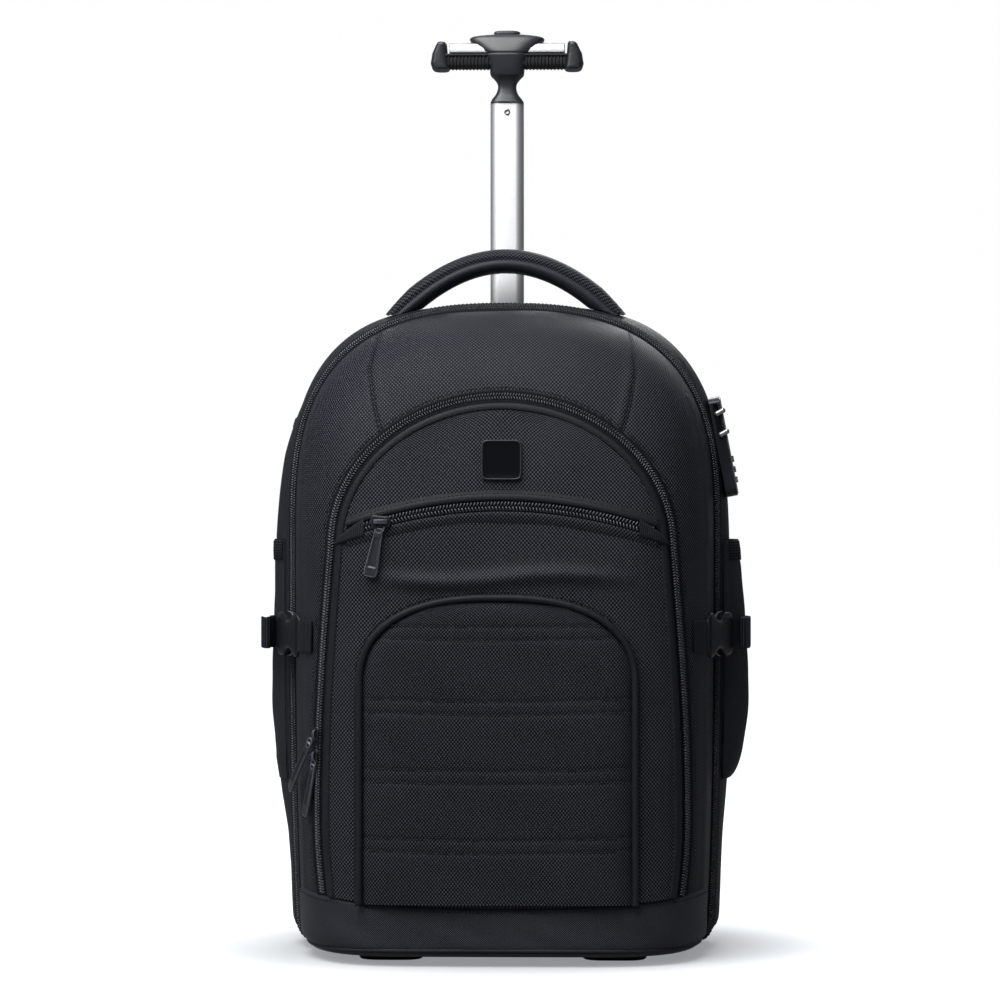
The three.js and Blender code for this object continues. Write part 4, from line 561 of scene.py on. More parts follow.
def row_of(name, shape, faces, frames, material):
    """Copies of one small shape; its points are lengths along, across and out at each place."""
    place, along, across, out = (part[:, None] for part in frames)
    shape = np.asarray(shape, float)
    points = place + shape[:, :1] * along + shape[:, 1:2] * across + shape[:, 2:] * out
    every = np.asarray(faces)[None] + (np.arange(len(place)) * len(shape))[:, None, None]
    return put(name, points, every.reshape(-1, len(faces[0])).tolist(), material)


def tooth_pair(reach, wide, tall, slant):
    """Pair of slanted teeth that meet on the zip's middle line, each a block narrowed at its top."""
    corners, faces = [], []
    for side in (-1, 1):
        quads = [tuple(len(corners) + i for i in face) for face in BLOCK_FACES]
        faces += quads if side > 0 else [face[::-1] for face in quads]
        for level, shrink, narrow in ((0.0, 1.0, 1), (tall, 0.55, 0.86)):
            for a, b in ((-1, 0.04), (1, 0.04), (1, 1), (-1, 1)):
                along = a * wide / 2 * shrink + slant * b + side * wide * 0.5
                corners.append((along, side * reach * (0.5 + (b - 0.5) * narrow), level))
    return corners, faces


def sewn(name, frames, long=2.0, wide=0.35, tall=0.3):
    """Row of stitches: each a short low bead of thread that dips at both ends."""
    levels = ((-0.15, 1.0), (tall, 0.6))
    bead = [(a * k * long / 2, b * k * wide, level) for level, k in levels for a, b in BLOCK]
    return row_of(name, bead, BLOCK_FACES, frames, thread_black)


zip_tape = ribbed("zip_tape", "zip_coil", 0.0016, 0.002, 0.013, 0.6, 0.0002, 0.08)
# Pale tooth tips from the edge tone: partly painted highlight, standing in for the glints on the coil.
zip_teeth = hard("zip_teeth", "zip_coil", 1400.0, 0.007, 0.13, 0.7, 0.26, 0.00003, specular=0.6, coat=0.1)
thread_black = hard("thread_black", "binding", 2500.0, 0.006, 0.03, 0.4, 0.6, 0.00005, specular=0.2)
line_x, line_z = edge_line(ZIP_EDGE, 110, 200)
line_way = ways(np.stack([line_x, line_z], -1))
line_out = places(-line_way[:, 1], 0.0, line_way[:, 0])
tape = np.array([places(line_x, y, line_z) + line_out * lift for y, lift in zip(TAPE_Y, TAPE_LIFT)])
skin("main_zip_tape", tape.transpose(1, 0, 2)[:, ::-1], zip_tape, instead_of="main_zip")
for label, side in SIDES:
    seam_z = np.linspace(TOP_SEAM_Z[0], TOP_SEAM_Z[-1], 70)
    seam_x = side * np.interp(seam_z, TOP_SEAM_Z, TOP_SEAM_X[label])
    for kind, beside, lift, pitch, long, wide in SEAM_ROWS:
        row = on_front(seam_x + side * beside, seam_z, lift)
        row = frames_along(row, front_out(seam_x, seam_z), pitch)
        sewn("top_panel_%s_%s" % (kind, label), row, long, wide)
coil_line = places(line_x, -8.9, line_z) + line_out * 3.0
row_of("main_zip_coil", *tooth_pair(2.3, 1.0, 1.6, 0.8),
       frames_along(coil_line, line_out * 0.55 + (0, -0.83, 0), 1.95), zip_teeth)
for label, y, lift in (("front", -13.4, 0.2), ("rear", 0.6, 7.2)):
    row = places(line_x, y, line_z) + line_out * lift
    sewn("main_zip_stitches_" + label, frames_along(row, line_out, 3.2))

# Base: a moulded tray under the bag, a plain cloth band sewn round the foot of the front with a
# thin rubbed lip under it, and two moulded feet at the front.
BAND_TOP = 45.0
BAND_RISE = 11.0
BAND_HALF = 157.5
BAND_FOOT = 12.6
FOOT_X, FOOT_Y = 87.0, -62.0
plain_binding = woven("plain_binding", "binding", 0.0019, 0.0017, 0.005, 0.068, 0.4, 0.42, 0.00012, 0.2)
cord_nylon = woven("cord_nylon", "binding", 0.0013, 0.0013, 0.004, 0.03, 0.4, 0.42, 0.00012, 0.16)
hard_black = hard("hard_black", "hard_black", 1100.0, 0.006, 0.09, 0.8, 0.33, 0.00006, specular=0.4)


def band_top(x):
    """Height of the base band's top seam, rising towards the sides."""
    return BAND_TOP + BAND_RISE * (np.abs(x) / ZIP_EDGE[0]) ** 2


x = spread(161) * BAND_HALF
share = np.linspace(0, 1, 30)[:, None]
lift = 2.6 * (1 - 0.7 * (np.exp(-share * 26) + np.exp(-(1 - share) * 26)))
lift = lift + 0.35 * np.sin(x / 9 + 9 * share) * np.sin(x / 23)
band = on_front(x * (1 - 0.006 * (1 - share)), BAND_FOOT + (band_top(x) - BAND_FOOT) * share, lift)
skin("base_band_cloth", band, plain_binding, instead_of="base_band")
row = on_front(x, band_top(x) - 3.2, 2.7)
sewn("base_band_stitches", frames_along(row, front_out(x, band_top(x)), 3.4))


def section_ring(wide, thick, power, around):
    """Closed superellipse of a width and a thickness as two shares of the ring."""
    angle = turns(around)
    return (signed(np.cos(angle), 2 / power) * np.asarray(wide)[:, None],
            signed(np.sin(angle), 2 / power) * np.asarray(thick)[:, None])


def solid(name, path, across, out, wide, thick, material, power=2.0, around=24, **where):
    """Body along a path of superellipse rings, each of its own width and thickness, both ends closed."""
    count = len(path)
    across = np.broadcast_to(np.asarray(across, float), (count, 3))
    out = np.broadcast_to(np.asarray(out, float), (count, 3))
    a, b = section_ring(np.broadcast_to(wide, count), np.broadcast_to(thick, count), power, around)
    rings = path[:, None] + a[..., None] * across[:, None] + b[..., None] * out[:, None]
    uv = np.stack([lengths(np.concatenate([rings, rings[:, :1]], 1), 1)[:, :-1], lengths(rings, 0)], -1)
    faces = grid_faces(count, around, True, True)
    if np.dot(np.cross(across[0], out[0]), path[1] - path[0]) < 0:
        faces = [tuple(face)[::-1] for face in faces]
    return put(name, rings, faces, material, uv=uv, **where)


def rounded(count, ease=0.25):
    """Shares along a body and how full it is at each: pulled in round both ends, full between."""
    share = np.linspace(0, 1, count)
    near = np.clip(np.minimum(share, 1 - share) / ease, 0, 1)
    return share, np.sqrt(np.clip(1 - (1 - near) ** 2, 0.02, 1))


x = x * 0.99
solid("base_lip", on_front(x, 12.9, 1.6), (0, 0, 1), front_out(x, 12.9), 1.5, 1.0, plain_nylon, around=10,
      slot="binding")


def moulding(node, material, bevel=0.5, body="bag"):
    """Copy of a hard CAD piece: its loose triangles merged into faces, with rounded edges."""
    shape = bmesh.new()
    shape.from_mesh(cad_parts[node].data)
    shape.transform(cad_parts[node].matrix_world)
    bmesh.ops.remove_doubles(shape, verts=shape.verts, dist=2e-6)
    bmesh.ops.dissolve_limit(shape, angle_limit=0.01, verts=shape.verts, edges=shape.edges)
    mesh = bpy.data.meshes.new(node + "_moulding")
    shape.to_mesh(mesh)
    shape.free()
    piece = settle(mesh.name, mesh, material, body, node)
    edge = piece.modifiers.new("rounded_edges", "BEVEL")
    edge.width = bevel * 0.001
    edge.segments = 3
    edge.angle_limit = np.radians(33)
    edge.harden_normals = False
    flat = piece.modifiers.new("even_faces", "WEIGHTED_NORMAL")
    flat.keep_sharp = False


moulding("base_tray", hard_black, 1.0)
for label, side in SIDES:
    share, full = rounded(14, 0.3)
    post = places(side * FOOT_X, FOOT_Y, 0.2 + share * 7.4)
    solid("foot_%s_moulding" % label, post, (1, 0, 0), (0, 1, 0), 20 + 5 * full, 12 + 5 * full, hard_black,
          power=4.0, around=40, instead_of="foot_" + label)

# Arched front pocket: a woven panel that stands a little off the shell inside its own arched zip,
# with a plain welt sewn along the coil.
POCKET_HALF = 137.0
POCKET_WAIST = 0.955
POCKET_TOP = 437.5
POCKET_SHOULDER = 323.0
POCKET_LIFT = 0.8
POCKET_WALL = 3.0
PANEL_INSET = 5
WELT = [(5.2, 1.2), (5.4, 3.6), (6.2, 4.6), (7.8, 4.9), (9.8, 4.8), (10.8, 4.3), (11.1, 3.2)]


def pocket_half(z, inset):
    """Half width of the arched pocket: it widens below its shoulder and draws in at the foot."""
    half = POCKET_HALF - inset
    low = np.clip((POCKET_SHOULDER - z) / (POCKET_SHOULDER - BAND_TOP), 0, 1)
    widening = np.sin(np.pi / 2 * np.minimum(1, low / 0.75))
    side = half * (POCKET_WAIST + 0.08 * widening - 0.04 * np.clip((low - 0.75) / 0.25, 0, 1) ** 2)
    rise = np.clip((z - POCKET_SHOULDER) / (POCKET_TOP - inset - POCKET_SHOULDER), 0, 1)
    return np.where(z > POCKET_SHOULDER, half * POCKET_WAIST * np.sqrt(1 - rise ** 2), side)


def arch_line(inset, foot_lift=0.0):
    """The pocket's arch at an inset, from the left foot over the top to the right foot."""
    z = np.linspace(BAND_TOP + BAND_RISE * 0.68 + foot_lift, POCKET_SHOULDER, 90, endpoint=False)
    angle = np.linspace(0, np.pi, 141)
    over_x = -(POCKET_HALF - inset) * POCKET_WAIST * np.cos(angle)
    over_z = POCKET_SHOULDER + (POCKET_TOP - inset - POCKET_SHOULDER) * np.sin(angle)
    return mirrored(pocket_half(z, inset), z, over_x, over_z)


def arch_inset(x, z):
    """Distance from a point in to the pocket's outline."""
    up = np.maximum(z - POCKET_SHOULDER, 0)
    far = np.hypot(x / (POCKET_HALF * POCKET_WAIST), up / (POCKET_TOP - POCKET_SHOULDER))
    over = (1 - far) * np.hypot(x, up) / np.maximum(far, 0.02)
    return np.where(z > POCKET_SHOULDER, over, pocket_half(z, 0) - np.abs(x))


def arch_band(name, rows, material, **where):
    """Band along the arch from (inset, lift) pairs across it."""
    lines = [on_front(*arch_line(inset), lift) for inset, lift in rows]
    return skin(name, np.array(lines).transpose(1, 0, 2), material, **where)


c = spread(201)
low_share = np.linspace(0, 1, 170, endpoint=False)[:, None]
low_x = c * pocket_half(np.array([100.0]), PANEL_INSET)
for _ in range(3):
    low_foot = band_top(low_x) + 0.6
    low_z = low_foot + low_share * (POCKET_SHOULDER - low_foot)
    low_x = c * pocket_half(low_z, PANEL_INSET)
up_z = climb(0, POCKET_SHOULDER, POCKET_TOP - PANEL_INSET, 0, 100)[:, None] + 0 * c
x = np.concatenate([low_x, c * pocket_half(up_z, PANEL_INSET)])
z = np.concatenate([low_z, up_z])
panel_in = arch_inset(x, z) - PANEL_INSET
sag_fold = np.exp(-((z - 298 - 3 * np.sin(x / 29)) / 6) ** 2) * np.clip((104 - np.abs(x)) / 40, 0, 1)
panel_fold = 0.55 * np.sin(x / 17 - z / 23) * np.sin(z / 41 + x / 36) + 4.0 * sag_fold
panel_lift = (POCKET_LIFT + POCKET_WALL * (1 - np.exp(-np.maximum(panel_in, 0) / 1.1))
              + panel_fold * np.clip(panel_in / 14, 0, 1))
skin("front_pocket_cloth", on_front(x, z, panel_lift), ballistic_nylon, instead_of="front_pocket")
arch_band("front_pocket_welt", WELT, cord_nylon)
sewn("front_pocket_welt_stitches", front_frames(*arch_line(10.1), 4.75, 3.3))

# Arched zip: a dark ribbed tape with a coil of nylon teeth, laid over the shell round the pocket
# and stitched down along its outer edge.
ARCH_TAPE = [
    (-5.4, 0.1), (-5.2, 1.2), (-4.4, 1.6), (-2.9, 1.5), (-2.5, 1.0), (0, 0.9), (2.5, 1.0), (2.9, 1.6),
    (4.4, 1.8), (5.6, 1.2),
]
arch_band("front_zip_tape", ARCH_TAPE, zip_tape, instead_of="front_zip")
coil = front_frames(*arch_line(0, 1.0), 1.0, 2.15)
row_of("front_zip_coil", *tooth_pair(2.7, 1.1, 1.7, 1.0), coil, zip_teeth)
sewn("front_zip_stitches", front_frames(*arch_line(-7.4), 0.8, 3.3))

# Pocket zip: a heavier coil across the front pocket between a plain lip and a turned flap, with
# ribbed tabs sewn over both ends.
SMALL_HALF = 117.0
SMALL_Z, SMALL_SAG = 353.0, 20.0
POCKET_FACE = POCKET_LIFT + POCKET_WALL
SMALL_TAPE = [(-6.6, 3.9), (-6.2, 4.6), (-3.4, 4.9), (3.4, 4.9), (6.2, 4.6), (6.6, 3.9)]
SMALL_LIP = [(4.0, 4.9), (4.3, 6.6), (5.4, 7.3), (8.4, 6.9), (10.6, 5.4), (12.2, 4.0)]
SMALL_FLAP = [(-12.5, 3.9), (-10.5, 5.0), (-7.4, 6.0), (-5.0, 6.3), (-4.3, 5.8), (-4.1, 4.7)]


def small_zip_z(x):
    """Height of the pocket zip, sagging towards both ends."""
    return SMALL_Z - SMALL_SAG * (np.abs(x) / SMALL_HALF) ** 2


def cross_band(name, rows, material, **where):
    """Band along the pocket zip from (height above it, lift) pairs."""
    x = np.linspace(-SMALL_HALF, SMALL_HALF, 141)
    lines = [on_front(x, small_zip_z(x) + up, lift) for up, lift in rows]
    return skin(name, np.array(lines), material, **where)


cross_band("pocket_zip_tape", SMALL_TAPE, zip_tape, instead_of="pocket_zip")
x = np.linspace(-SMALL_HALF + 4, SMALL_HALF - 4, 200)
coil = front_frames(x, small_zip_z(x), 4.9, 2.6)
row_of("pocket_zip_coil", *tooth_pair(3.5, 1.3, 2.0, 1.3), coil, zip_teeth)
cross_band("pocket_zip_lip", SMALL_LIP, cord_nylon)
cross_band("pocket_zip_flap", SMALL_FLAP, ballistic_nylon)
x = np.linspace(-SMALL_HALF, SMALL_HALF, 200)
z = small_zip_z(x)
sewn("pocket_zip_stitches", frames_along(on_front(x, z + 9.6, 6.3), front_out(x, z), 3.2))
tab_ribs = ribbed("tab_ribs", "binding", 0.0016, 0.003, 0.03, 0.6, 0.0003, 0.1)
for label, side in SIDES:
    share, c = np.linspace(0, 1, 20)[:, None], np.linspace(-1, 1, 15)
    x = side * (SMALL_HALF - 13 + 22 * share)
    z = small_zip_z(x) + (8.6 - 6.6 * share) * c - 5.0 * share
    tab = on_front(x, z, 7.6 - 2.6 * c ** 6 - 2.2 * share ** 6)
    skin("pocket_zip_tab_" + label, tab[:, ::-side], tab_ribs)

# Quilted pocket: a padded woven panel with four double rows of stitching across it, edged by a
# cloth-covered cord. It is sewn to the front pocket over a turned fold.
QUILT_HALF = 107.0
QUILT_TOP = 286.0
QUILT_SHOULDER = 215.0
QUILT_SHIFT = -3.0
QUILT_FOOT = BAND_TOP + BAND_RISE * 0.6
QUILT_INSET = 4.2
QUILT_SAG = 3.0
QUILT_ROWS = [
    (row, name, off) for row in (257.0, 200.0, 147.0, 94.0) for name, off in (("low", -5.0), ("high", 5.0))
]
quilt_nylon = woven("quilt_nylon", "nylon", 0.0026, 0.0032, 0.003, 0.054, 0.3, 0.5, 0.0004, 0.08)


def quilt_half(z, inset):
    """Half width of the quilted pocket: straight sides under a round arch."""
    rise = np.clip((z - QUILT_SHOULDER) / (QUILT_TOP - inset - QUILT_SHOULDER), 0, 1)
    return (QUILT_HALF - inset) * np.sqrt(np.maximum(0, 1 - rise ** 2.5)) ** 0.8


def quilt_line(inset):
    """The quilted pocket's arch at an inset, from foot to foot."""
    z = np.linspace(QUILT_FOOT - 4, QUILT_SHOULDER, 100, endpoint=False)
    angle = np.linspace(0, np.pi, 300)
    over_x = -(QUILT_HALF - inset) * signed(np.cos(angle), 0.8)
    over_z = QUILT_SHOULDER + (QUILT_TOP - inset - QUILT_SHOULDER) * np.abs(np.sin(angle)) ** 0.8
    x, z = mirrored(np.full_like(z, QUILT_HALF - inset), z, over_x, over_z)
    return x + QUILT_SHIFT, z


def quilt_row(x, row, off):
    """Height of a row of stitching, which sags towards its middle."""
    return row + off - QUILT_SAG * (1 - (x / QUILT_HALF) ** 2) + QUILT_SAG / 2


z = climb(QUILT_FOOT - 3, QUILT_SHOULDER, QUILT_TOP - QUILT_INSET, 130, 70)[:, None]
c = spread(171)
x = c * quilt_half(z, QUILT_INSET)
quilt_in = np.minimum((1 - np.abs(c)) * 100, np.maximum(QUILT_TOP - QUILT_INSET - z, 0) * 1.4)
quilt_crown = 4.6 * (1 - np.exp(-quilt_in / 6.5)) + 0.5 * np.sin(x / 21 + z / 13) * np.sin(z / 37)
for row, name, off in QUILT_ROWS:
    near = z - quilt_row(x, row, off)
    pinch = 1 + 0.5 * np.sin(x / 2.3 + row) * np.sin(x / 7.1)
    quilt_crown -= 0.55 * np.exp(-(near / 1.5) ** 2) + 0.22 * np.exp(-(near / 6) ** 2) * pinch
quilt = on_front(x + QUILT_SHIFT, z, POCKET_FACE + 0.5 + quilt_crown)
quilt = skin("quilted_pocket_cloth", quilt, quilt_nylon, instead_of="lower_pocket")
for row, name, off in QUILT_ROWS:
    x = np.linspace(-1, 1, 160) * quilt_half(row, 9)
    sewn("quilt_stitches_%d_%s" % (row, name),
         front_frames(x + QUILT_SHIFT, quilt_row(x, row, off), POCKET_FACE + 4.2, 3.3), 2.3, 0.4)
x, z = quilt_line(2.7)
cord = on_front(x, z, POCKET_FACE + 2.9)
solid("quilt_cord", cord, np.cross(front_out(x, z), ways(cord)), front_out(x, z),
      2.7 + 0.12 * np.sin(np.arange(len(x)) * 0.9), 2.7, cord_nylon, around=16, instead_of="lower_piping")
for name, inset, lift in (("inner", 6.2, 4.6), ("outer", -1.6, 4.2)):
    sewn("quilt_edge_stitches_" + name, front_frames(*quilt_line(inset), lift, 3.2))

# Badge: a square plate of gloss black enamel in a thin gunmetal rim, its face left bare, riveted
# through the pocket.
BADGE_Z = 388.0
RIM_LEVELS = [(1, 0), (1, 1.7), (0.985, 2.2), (0.955, 2.4), (0.925, 2.2), (0.915, 1.6)]
FACE_LEVELS = [(1, 1.2), (0.995, 1.8), (0.97, 1.95), (0.93, 1.8), (0.6, 1.8), (0.0, 1.8)]
# Pale rims and edges on the badge and pullers from the edge tone: partly painted highlight.
gunmetal = hard("gunmetal", "gunmetal", 700.0, 0.004, 0.3, 1.5, 0.3, 0.00003, specular=0.3)
enamel_black = hard("enamel_black", "gunmetal", 1500.0, 0.003, 0.1, 1.2, 0.24, 0.00003, specular=0.2)
badge_gloss = hard("badge_gloss", "gunmetal", 1500.0, 0.003, 0.02, 0.0, 0.22, 0.00002, specular=0.08)
badge_seat = on_front(0.0, BADGE_Z, POCKET_FACE + 0.7)
badge_out = front_out(0.0, BADGE_Z)
badge_up = unit(np.cross(badge_out, [1.0, 0, 0]))


def plate(name, half, levels, material, **where):
    """Square plate with rounded corners: rings at (share of its width, height) up to its middle."""
    share, height = np.array(levels).T
    a, b = section_ring(half * share, half * share, 9, 64)
    rings = (badge_seat + a[..., None] * (1.0, 0, 0) + b[..., None] * badge_up
             + height[:, None, None] * badge_out)
    skin(name, rings[:, ::-1], material, wrap=True, **where)


plate("badge_rim", 15.5, RIM_LEVELS, gunmetal, instead_of="badge")
plate("badge_face", 14.6, FACE_LEVELS, badge_gloss)

# Sliders and pullers: die-cast black zinc. A slider is a waisted body with a bridge, a puller a
# framed tongue on a ring.
PULLER_SHARES = [0, 0.08, 0.3, 0.86, 1]
PULLER_WIDTHS = [0.45, 0.62, 0.72, 1, 0.94]


def zip_slider(name, seat, along, out, node, size=(11.0, 9.0, 4.0)):
    """Slider: a body that narrows to its tail under a raised bridge."""
    long, wide, tall = size
    along, out = unit(along), unit(out)
    across = np.cross(out, along)
    share, full = rounded(18, 0.2)
    waist = 1 - 0.26 * share - 0.12 * np.sin(np.pi * share)
    path = seat + along * ((share - 0.5) * long)[:, None] + out * tall * 0.3
    solid(name + "_body", path, across, out, wide / 2 * waist * full, tall * 0.3 * full, enamel_black,
          power=3.4, instead_of=node)
    turn = np.linspace(0, np.pi, 14)[:, None]
    bridge = seat + along * (np.cos(turn) * long * 0.34) + out * (tall * 0.5 + np.sin(turn) * tall * 0.48)
    solid(name + "_bridge", bridge, across, out, wide * 0.14, 0.6, gunmetal, power=3.0, around=12)


def zip_puller(name, start, end, lift, node, width=9.0):
    """Puller: a long tongue over the surface with a raised frame round a sunk face, wider at its foot."""
    share = np.linspace(0, 1, 60)[:, None]
    x, z = (start + (np.array(end) - start) * share).T
    centre, out = on_front(x, z, lift), front_out(x, z)
    along = ways(centre)
    across = np.cross(along, out)
    c = np.linspace(-1, 1, 25)
    taper = np.interp(share, PULLER_SHARES, PULLER_WIDTHS)
    half = width / 2 * taper * np.sqrt(1 - 0.6 * np.clip((share - 0.93) / 0.07, 0, 1) ** 4)
    window = (np.abs(c) < 0.62) & (np.abs(share - 0.5) < 0.3)
    tall = np.where(window, 0.9, 2.0) - 0.5 * (np.abs(c) > 0.97)
    bottom = centre[:, None] + across[:, None] * (half * c)[..., None]
    top = bottom + out[:, None] * tall[..., None]
    grid = np.concatenate([top, bottom[:, ::-1]], axis=1)
    ends = bottom[[0, -1]].mean(1, keepdims=True) + 0 * grid[[0, -1]]
    grid = np.concatenate([ends[:1], grid, ends[1:]])
    skin(name + "_tongue", grid, gunmetal, wrap=True, instead_of=node)
    turn = np.linspace(0, 2 * np.pi, 33)[:, None]
    loop = (centre[3] + out[3] * 1.4 - along[3] * 2.4 + along[3] * (np.cos(turn) * 4.2)
            + across[3] * (np.sin(turn) * width * 0.33))
    solid(name + "_ring", loop, np.cross(ways(loop), out[3]), out[3], 0.75, 0.75, gunmetal, around=10)


x = -SMALL_HALF * 0.78
z = small_zip_z(x)
zip_slider("pocket_slider", on_front(x, z, 7.0), np.array([1.0, 0, 0]), front_out(x, z), "pocket_slider",
           (16.0, 12.5, 5.2))
zip_puller("pocket_puller", (x - 1, z - 5.0), (x - 8, z - 41.5), 7.4, "pocket_puller", 10.5)
for name, z, end_x, drop, lift in (("upper", 177.0, -158.0, 45.0, 8.4), ("lower", 160.0, -149.5, 47.0, 3.9)):
    x = -pocket_half(z, 0)
    out = front_out(x, z)
    along = np.cross(out, [-1.0, 0, 0])
    zip_slider("arch_slider_" + name, on_front(x, z, 3.6), along, out, "front_slider_" + name)
    start, end = (x - 1, z - 6.3), (end_x, z - drop)
    zip_puller("arch_puller_" + name, start, end, lift, "front_puller_" + name, 8.2)

# Side pockets: a pouch of plain nylon on each side, sewn to the rear shell at its edges and foot,
# with its elastic top bound in ribbed tape.
SIDE_FRONT, SIDE_BACK, SIDE_FOOT, SIDE_TOP = 6.0, 46.0, 134.0, 326.0
SIDE_PEAK = {"left": 9.0, "right": 16.0}
SHELL_PUFF = {"left": 8.0, "right": 2.8}
HEM_ROWS = ((16.5, 2.9), (16.0, 3.7), (8.0, 4.0), (1.0, 3.7), (-0.6, 2.6), (-0.6, 1.4), (0.5, 0.8))
mesh_cloth = ribbed("mesh_cloth", "binding", 0.0022, 0.003, 0.026, 0.6, 0.0003, 0.1)


def side_at(y, z):
    """Distance of the bag's side from the middle at a depth and height."""
    y, z = np.broadcast_arrays(np.asarray(y, float), np.asarray(z, float))
    ahead = np.clip((FRONT_RIM - y) / FRONT_DEPTH, 0, 1)
    front = half_at(ZIP_EDGE, z) * np.clip(1 - ahead ** 2, 0, 1) ** (1 / 2.2 / 2.6)
    return np.where(y < REAR_START, front, half_at(rear_edge(y.ravel()).reshape(4, *y.shape), z))


def bulge(label, y, z):
    """How far a side pocket stands off: a round belly low down, flatter towards its top."""
    across = np.clip((y - SIDE_FRONT) / (SIDE_BACK - SIDE_FRONT), 0, 1)
    up = np.clip((z - SIDE_FOOT) / (SIDE_TOP - SIDE_FOOT), 0, 1)
    rise = np.where(up < 0.37, np.sqrt(np.clip(1 - (1 - up / 0.37) ** 2, 0, 1)),
                    1 - 0.55 * (np.maximum(up - 0.37, 0) / 0.63) ** 1.5)
    return SIDE_PEAK[label] * rise * np.clip(np.sin(np.pi * across), 0, 1) ** 0.6


for label, side in SIDES:
    z = SIDE_FOOT + (SIDE_TOP - SIDE_FOOT) * np.linspace(0, 1, 90)[:, None] ** 1.15
    y = SIDE_FRONT + (SIDE_BACK - SIDE_FRONT) * (0.5 - 0.5 * np.cos(np.linspace(0, np.pi, 50)))
    hem = np.exp(-np.abs(z - SIDE_TOP + 16) / 1.2)
    crease = 0.7 * np.sin(z / 9 + y / 5) * np.sin(z / 23) * np.clip((SIDE_TOP - z) / 30, 0, 1)
    outer = side_at(y, z) + 2.8 + bulge(label, y, z) - 0.7 * hem + crease * 0.6
    puff = SHELL_PUFF[label] * belly(y) * np.clip((z - 92) / 58, 0, 1)
    outer = np.maximum(outer, side_at(y, z) + puff + 1.4)
    shell = np.concatenate([places(side * outer, y, z), places(side * (outer - 1.2), y, z)[::-1]])
    skin("side_pocket_%s_cloth" % label, shell[:, ::side], plain_nylon, instead_of="side_pocket_" + label)
    y = np.linspace(SIDE_FRONT + 1, SIDE_BACK - 1, 40)
    rows = []
    for drop, off in HEM_ROWS:
        z = SIDE_TOP - drop
        stand = np.maximum(bulge(label, y, z) + off, SHELL_PUFF[label] * belly(y) + off - 1.2)
        rows.append(places(side * (side_at(y, z) + stand), y, z))
    skin("side_pocket_%s_hem" % label, np.array(rows)[:, ::side], mesh_cloth)

# Compression straps: ribbed polyester webbing through a moulded side-release buckle at each side,
# with a folded tail.
STRAP_Z = 252.0
BUCKLE_START = -60.0
BUCKLE_END = np.array([182.0, -15.0])
BUCKLE_SHAPE = [0, 2, 5, 9, 13, 17, 22, 27, 31, 35, 39, 45, 50, 52]
BUCKLE_TALL = [12.6, 15.2, 17.2, 17.5, 15.6, 12.6, 11.0, 11.2, 13.2, 16.4, 17.5, 17.4, 15.4, 13.6]
TAIL = [
    (190.1, 2.0), (188.2, -7.5), (189.2, -9.6), (191.2, -9.2), (193.4, -2.0), (195.2, 6.0), (196.0, 14.0),
]
BUCKLE_STANDS = [0, 4, 22, 30, 48, 52]
BUCKLE_THICK = [3.2, 4.3, 4.4, 4.0, 4.0, 3.0]
UP = np.array([0, 0, 1.0])
webbing = ribbed("webbing", "webbing", 0.0024, 0.003, 0.03, 0.55, 0.00035, 0.1)
# Painted highlight: the buckle's own black plastic drawn in a paler grey, so its edge rods and bars read as
# lit lines.
painted_highlight_edge = hard("painted_highlight_edge", "hard_black", 900.0, 0.07, 0.3, 0.6, 0.25, 0.00002, specular=0.8)


def smooth_path(points, count):
    """Path through points with an even curve: cubic pieces whose slopes come from their neighbours."""
    points = np.asarray(points, float)
    slope = np.gradient(points, axis=0)
    at = np.linspace(0, len(points) - 1, count)
    i = np.minimum(at.astype(int), len(points) - 2)
    t = (at - i)[:, None]
    return ((2 * t ** 3 - 3 * t ** 2 + 1) * points[i] + (t ** 3 - 2 * t ** 2 + t) * slope[i]
            + (3 * t ** 2 - 2 * t ** 3) * points[i + 1] + (t ** 3 - t ** 2) * slope[i + 1])


def strap(name, path, across, out, node):
    """Flat webbing along a path, 25 wide."""
    solid(name, path, across, out, 12.5, 0.9, webbing, power=7.0, around=28, instead_of=node)


def standing_strap(name, plan, side, node, count):
    """Webbing on edge along a plan path at the strap's height."""
    x, y = smooth_path(plan, count).T
    path = places(side * x, y, STRAP_Z)
    strap(name, path, UP, unit(np.cross(np.gradient(path, axis=0), UP)), node)


